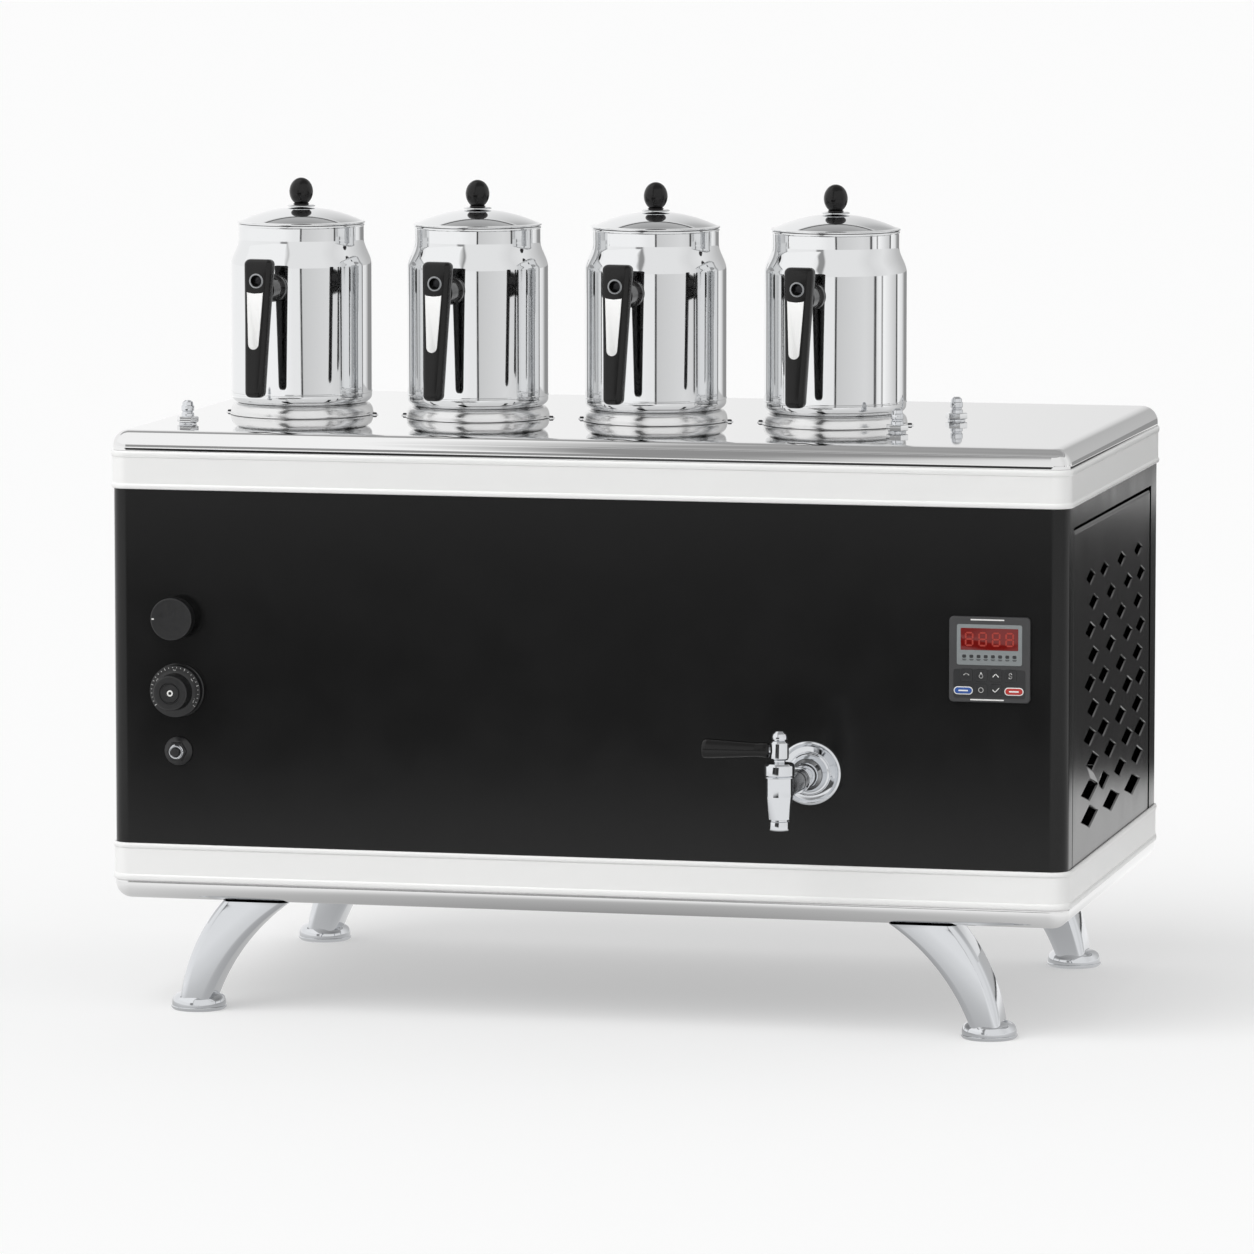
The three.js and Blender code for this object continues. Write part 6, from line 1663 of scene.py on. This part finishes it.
# %% Gland and nipple
RIBS, RIB_CIRCLE, RIB_SIZE = 25, 9.9, 0.9
NUT_TOP, CAP_TAPER = 10.2, 6
gland_reach = (box("cable_gland")[1].y - back_y) / MM
turned_piece("gland_hexagon", soften([
    (9.9, FIT), (10.2, FIT), (11, 1, 0.2), (11, 9.4, 0.2), (10.2, NUT_TOP), (9.9, NUT_TOP),
], 2), back_place, black_nylon, "root", "gland_nylon", steps=6, closed=True)
turned_piece("gland_body", soften([
    (5, -11), (GLAND_RADIUS, -11, 0.3), (GLAND_RADIUS, gland_reach - CAP_TAPER, 0.5),
    (8.6, gland_reach, 1.2), (5, gland_reach, 0.4),
], 4, closed=True), back_place, black_nylon, "root", "gland_nylon", "cable_gland", steps=64, closed=True)
rib_low, rib_high = NUT_TOP + 0.8, gland_reach - CAP_TAPER - 1
rib_place = back_place @ Matrix.Translation((0, 0, (rib_low + rib_high) / 2 * MM))
ring_of_marks("gland_ribs", rib_place, black_nylon, "root", "gland_nylon", {
    "Count": RIBS, "Sweep": 2 * pi, "Every": 1, "Radius": RIB_CIRCLE, "Length": RIB_SIZE,
    "Width": RIB_SIZE, "Rise": rib_high - rib_low,
})

NIPPLE_BORE, NIPPLE_ROOT = 5.1, 9.5
BARBS, BARBS_FROM, BARB_PITCH, BARB_TOP, BARB_ROOT = 6, 10.2, 1.2, 6.3, 5.7
inlet_end = (box("gas_inlet_pipe")[1].y - back_y) / MM - 0.05
barbs = []
for i in range(BARBS):
    z = BARBS_FROM + BARB_PITCH * i
    barbs += [(BARB_TOP, z), (BARB_ROOT, z + BARB_PITCH / 2)]
turned_piece("inlet_nipple", soften([
    (NIPPLE_BORE, NIPPLE_ROOT), (5.6, NIPPLE_ROOT), *barbs[:-1], (5.8, 17), (5.8, inlet_end, 0.5),
    (NIPPLE_BORE, inlet_end),
], 2), inlet_place, drawn_brass, "root", "pipe_brass", steps=56, closed=True)
print("gland and nipple reach", round(gland_reach), "and", round(inlet_end), "mm behind the case")

# %% [markdown]
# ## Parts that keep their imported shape
# What lies inside the case shows only in glimpses, through the vents and a lifted pot's seat. It keeps
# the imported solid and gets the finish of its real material.

# %% Inner parts
INNER_PARTS = {
    "water_tank": plain_steel, "heating_element": plain_steel, "burner": cast_iron,
    "gas_valve": drawn_brass, "thermostat": plain_steel, "igniter_body": black_abs,
    "gas_inlet_pipe": drawn_brass,
}
for name, material in INNER_PARTS.items():
    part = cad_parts[name]
    part.data.materials.clear()
    part.data.materials.append(material)
print(len(INNER_PARTS), "inner parts dressed")

# %% [markdown]
# ## The studio
# Polished steel is only as good as the room it reflects. The pots are mirrors that stand upright, so
# each one shows the whole room as upright bands, squeezed together towards its edges: a white room,
# the dark slit at the camera, and the thin dark edges of the screens. All of those rays leave the
# pots a little downwards, as the camera looks down on them, and so they meet the floor far away. The
# black front and side look darker than their coat alone would, because they face dark floor cloths.
# So shiny rays see a floor and a room of their own, and other rays an even white one.

# %% Bands for mirrors
def around(tree, place):
    """A ramp factor that runs round the object: 0 and 1 at its left, 0.25 in front, 0.75 behind."""
    parts = node(tree, "ShaderNodeSeparateXYZ", {"Vector": place}).outputs
    turn = node(tree, MATH, (parts["Y"], parts["X"]), operation="ARCTAN2").outputs[0]
    return node(tree, MATH, (turn, 1 / (2 * pi), 0.5), operation="MULTIPLY_ADD").outputs[0]


def grey_stops(made, stops):
    """Gives a Color Ramp node its stops of (factor, grey)."""
    ramp = made.color_ramp
    ramp.elements[0].position, ramp.elements[-1].position = stops[0][0], stops[-1][0]
    for position, _ in stops[1:-1]:
        ramp.elements.new(position)
    for element, (_, grey) in zip(ramp.elements, stops):
        element.color = (grey, grey, grey, 1)
    return made.outputs[0]


FAR_BANDS = [  # the floor behind the edge ring, which the pots show
    (0.0, 1.1), (0.2, 1.1), (0.25, 1.0), (0.281, 1.0), (0.284, 0.03), (0.289, 0.03), (0.292, 0.72),
    (0.33, 0.76), (0.42, 0.85), (0.462, 0.8), (0.467, 0.06), (0.474, 0.06), (0.48, 0.95), (0.503, 1.1),
    (0.506, 0.3), (0.511, 0.3), (0.515, 1.15), (0.57, 0.85), (0.6, 0.7), (0.604, 0.06), (0.611, 0.06),
    (0.616, 1.1), (0.66, 0.9), (0.69, 0.32), (0.75, 0.3), (0.77, 1.0), (1.0, 1.1),
]
EDGE_BANDS = [  # a ring of floor that the upright edge of the cover shows
    (0.0, 1.0), (0.195, 0.85), (0.208, 0.7), (0.215, 0.48), (0.24, 0.42), (0.26, 0.9), (0.66, 0.9),
    (0.68, 0.3), (0.74, 0.3), (0.76, 1.0), (1.0, 1.0),
]
NEAR_BANDS = [  # the floor cloths that the black case shows
    (0.0, 1.1), (0.155, 1.1), (0.17, 0.02), (0.197, 0.03), (0.215, 0.1), (0.235, 0.05), (0.27, 0.04),
    (0.285, 1.0), (0.6, 0.9), (0.62, 0.07), (0.73, 0.07), (0.75, 1.1), (1.0, 1.1),
]
WALL_BANDS = [  # above the horizon
    (0.0, 1.05), (0.18, 1.0), (0.19, 0.35), (0.218, 0.33), (0.228, 0.95), (0.4, 0.95), (0.47, 0.85),
    (0.55, 0.95), (0.68, 0.6), (0.75, 0.5), (0.763, 0.72), (0.778, 0.84), (0.794, 1.0), (1.0, 1.05),
]
CEILING_BANDS = [(0.625, 0.9), (0.635, 0.12), (0.65, 0.12), (0.665, 0.55), (0.8, 0.38), (1.0, 0.42)]
CEILING_RISE = (0.6, 0.625)  # the share of straight up where the walls end
FRONT_WALL_MORE = 0.2  # the front wall is higher by this share, so that the shoulders show no ceiling
print(len(FAR_BANDS), "far stops and", len(WALL_BANDS), "on the walls")

# %% World
world = bpy.data.worlds.new("studio")
scene.world = world
world.use_nodes = True
sky = world.node_tree
sky.nodes.clear()
WHITE = (1, 1, 1, 1)
ROOM_LIGHT = 0.7
FRONT_SHARE = (-0.2, 0.2)  # where the front wall gives way to the back wall, as a share of depth
direction = node(sky, "ShaderNodeTexCoord").outputs["Generated"]
ways = node(sky, "ShaderNodeSeparateXYZ", {"Vector": direction}).outputs
lowered = node(sky, "ShaderNodeMapRange", (ways["Y"], *FRONT_SHARE, FRONT_WALL_MORE, 0.0)).outputs["Result"]
rise = node(sky, MATH, (ways["Z"], lowered), operation="SUBTRACT").outputs[0]
upper = node(sky, "ShaderNodeMapRange", (rise, *CEILING_RISE, 0.0, 1.0)).outputs["Result"]
walls = grey_stops(node(sky, "ShaderNodeValToRGB", {"Fac": around(sky, direction)}), WALL_BANDS)
ceiling = grey_stops(node(sky, "ShaderNodeValToRGB", {"Fac": rise}), CEILING_BANDS)
room_colour = node(sky, "ShaderNodeMix", {
    "Factor": upper, "A_Color": walls, "B_Color": ceiling,
}, data_type="RGBA").outputs[2]
rays = node(sky, "ShaderNodeLightPath").outputs
seen = node(sky, "ShaderNodeBackground", {"Color": WHITE, "Strength": 1.0}).outputs[0]
room = node(sky, "ShaderNodeBackground", {"Color": room_colour, "Strength": 1.0}).outputs[0]
soft = node(sky, "ShaderNodeBackground", {"Color": WHITE, "Strength": ROOM_LIGHT}).outputs[0]
shiny = node(sky, "ShaderNodeMixShader", (rays["Is Glossy Ray"], soft, room)).outputs[0]
straight = (rays["Is Camera Ray"], rays["Is Transmission Ray"])
straight = node(sky, MATH, straight, operation="MAXIMUM").outputs[0]
whole = node(sky, "ShaderNodeMixShader", (straight, shiny, seen)).outputs[0]
node(sky, "ShaderNodeOutputWorld", {"Surface": whole})
print("world with", len(sky.nodes), "nodes")

# %% [markdown]
# ## The lamp
# One sun lamp stands for a large soft box above the front left: its rays reach the floor evenly, so
# that only the object's own shadow darkens it, and its wide angle keeps that shadow soft. With the
# room's light it comes to a plain level, at which a colour renders about as it is written.

# %% Lamp
LAMP_SHARE = 0.32  # of the light that makes white paper white, on a level surface
LAMP_PLACE = Vector((-0.5, -0.8, 1.0))
LAMP_ANGLE = 50  # degrees across
data = bpy.data.lights.new("soft_box", "SUN")
data.angle = radians(LAMP_ANGLE)
data.energy = pi * LAMP_SHARE / LAMP_PLACE.normalized().z
lamp = object_of("soft_box", data)
lamp.rotation_euler = LAMP_PLACE.to_track_quat("Z", "Y").to_euler()
lamp.visible_glossy = False
scene.view_settings.view_transform = "Standard"
print("level surfaces get", round(ROOM_LIGHT + LAMP_SHARE, 2), "of full light")

# %% [markdown]
# ## The floor
# The floor is a pale paper that gives camera rays just what its own shade lacks to white, so that it
# merges with the white behind it and yet keeps the shadow. Shiny rays see the paper darken towards
# the object, where its shadow lies, then a ring of cloths, and far away the room's bands.

# %% Floor
FLOOR = 60
PAPER_SHADE, PAPER_WHITE = 0.6, 0.97
SHADOW_BANDS = [(0.0, 0.3), (0.4, 0.55), (0.6, 0.85), (0.8, 1.0)]  # by the distance in metres
PAPER_BANDS = [(0.0, 1.05), (1.0, 1.05)]
ZONES = [  # metres from the object, where shiny rays see the next bands begin
    ((1.7, 1.88), NEAR_BANDS), ((5.0, 5.12), PAPER_BANDS), ((5.46, 5.52), EDGE_BANDS),
    ((5.72, 5.8), FAR_BANDS),
]
bm = bmesh.new()
bmesh.ops.create_grid(bm, x_segments=1, y_segments=1, size=FLOOR / 2)
floor_mesh = bpy.data.meshes.new("floor")
bm.to_mesh(floor_mesh)
bm.free()
floor = object_of("floor", floor_mesh)
paper = bpy.data.materials.new("white_studio_paper")
paper.use_nodes = True
tree = paper.node_tree
tree.nodes.clear()
path = node(tree, "ShaderNodeLightPath").outputs
place = node(tree, "ShaderNodeTexCoord").outputs["Object"]
distance = node(tree, "ShaderNodeVectorMath", {"Vector": place}, operation="LENGTH").outputs["Value"]
turn = around(tree, place)
mirrored_grey = grey_stops(node(tree, "ShaderNodeValToRGB", {"Fac": distance}), SHADOW_BANDS)
for zone, bands in ZONES:
    beyond = node(tree, "ShaderNodeMapRange", (distance, *zone, 0.0, 1.0)).outputs["Result"]
    mirrored_grey = node(tree, "ShaderNodeMix", {
        "Factor": beyond, "A_Color": mirrored_grey,
        "B_Color": grey_stops(node(tree, "ShaderNodeValToRGB", {"Fac": turn}), bands),
    }, data_type="RGBA").outputs[2]
matt = node(tree, "ShaderNodeBsdfDiffuse", {"Color": (PAPER_SHADE, PAPER_SHADE, PAPER_SHADE, 1)}).outputs[0]
lift = PAPER_WHITE - PAPER_SHADE * (ROOM_LIGHT + LAMP_SHARE)
lift = node(tree, MATH, (path["Is Camera Ray"], lift), operation="MULTIPLY").outputs[0]
glow = node(tree, "ShaderNodeEmission", {"Color": WHITE, "Strength": lift}).outputs[0]
shown = node(tree, "ShaderNodeAddShader", (matt, glow)).outputs[0]
mirrored = node(tree, "ShaderNodeEmission", {"Color": mirrored_grey, "Strength": 1.0}).outputs[0]
surface = node(tree, "ShaderNodeMixShader", (path["Is Glossy Ray"], shown, mirrored)).outputs[0]
node(tree, "ShaderNodeOutputMaterial", {"Surface": surface})
floor.data.materials.append(paper)
print("floor of", FLOOR, "metres")

# %% [markdown]
# ## A white card for the rolled edges
# The long rolled edge of the cover is white at the left and grey at the right. Its rays all leave the
# same way, so a far room can't do that, and a card close above the left half does. Only shiny rays
# see it, and its right end fades over a third of a metre.

# %% White card
CARD_LOW, CARD_HIGH = (-6, -8), (0.4, 0.5)
CARD_RISE, CARD_LIGHT = 1.6, 1.1  # metres above the cover, and its strength
CARD_SLANT = 0.19  # the right end runs to the left in front, as the rays do
CARD_END, CARD_FADE = -0.2, 0.35
corners = [CARD_LOW, (CARD_HIGH[0], CARD_LOW[1]), CARD_HIGH, (CARD_LOW[0], CARD_HIGH[1])]
card_mesh = bpy.data.meshes.new("card")
card_mesh.from_pydata([(x, y, plate_z + CARD_RISE) for x, y in corners], [], [(0, 1, 2, 3)])
card = object_of("card", card_mesh)
white_card = bpy.data.materials.new("white_card_for_reflections")
white_card.use_nodes = True
tree = white_card.node_tree
tree.nodes.clear()
place = node(tree, "ShaderNodeTexCoord").outputs["Object"]
parts = node(tree, "ShaderNodeSeparateXYZ", {"Vector": place}).outputs
across = node(tree, MATH, (parts["Y"], -CARD_SLANT, parts["X"]), operation="MULTIPLY_ADD").outputs[0]
fade = (across, CARD_END - CARD_FADE, CARD_END, 1.0, 0.0)
faded = node(tree, "ShaderNodeMapRange", fade).outputs["Result"]
glossy = node(tree, "ShaderNodeLightPath").outputs["Is Glossy Ray"]
shown = node(tree, MATH, (faded, glossy), operation="MULTIPLY").outputs[0]
glow = node(tree, "ShaderNodeEmission", {"Color": WHITE, "Strength": CARD_LIGHT}).outputs[0]
clear = node(tree, "ShaderNodeBsdfTransparent").outputs[0]
surface = node(tree, "ShaderNodeMixShader", (shown, clear, glow)).outputs[0]
node(tree, "ShaderNodeOutputMaterial", {"Surface": surface})
card.data.materials.append(white_card)
print("card", CARD_RISE, "metres above the cover")
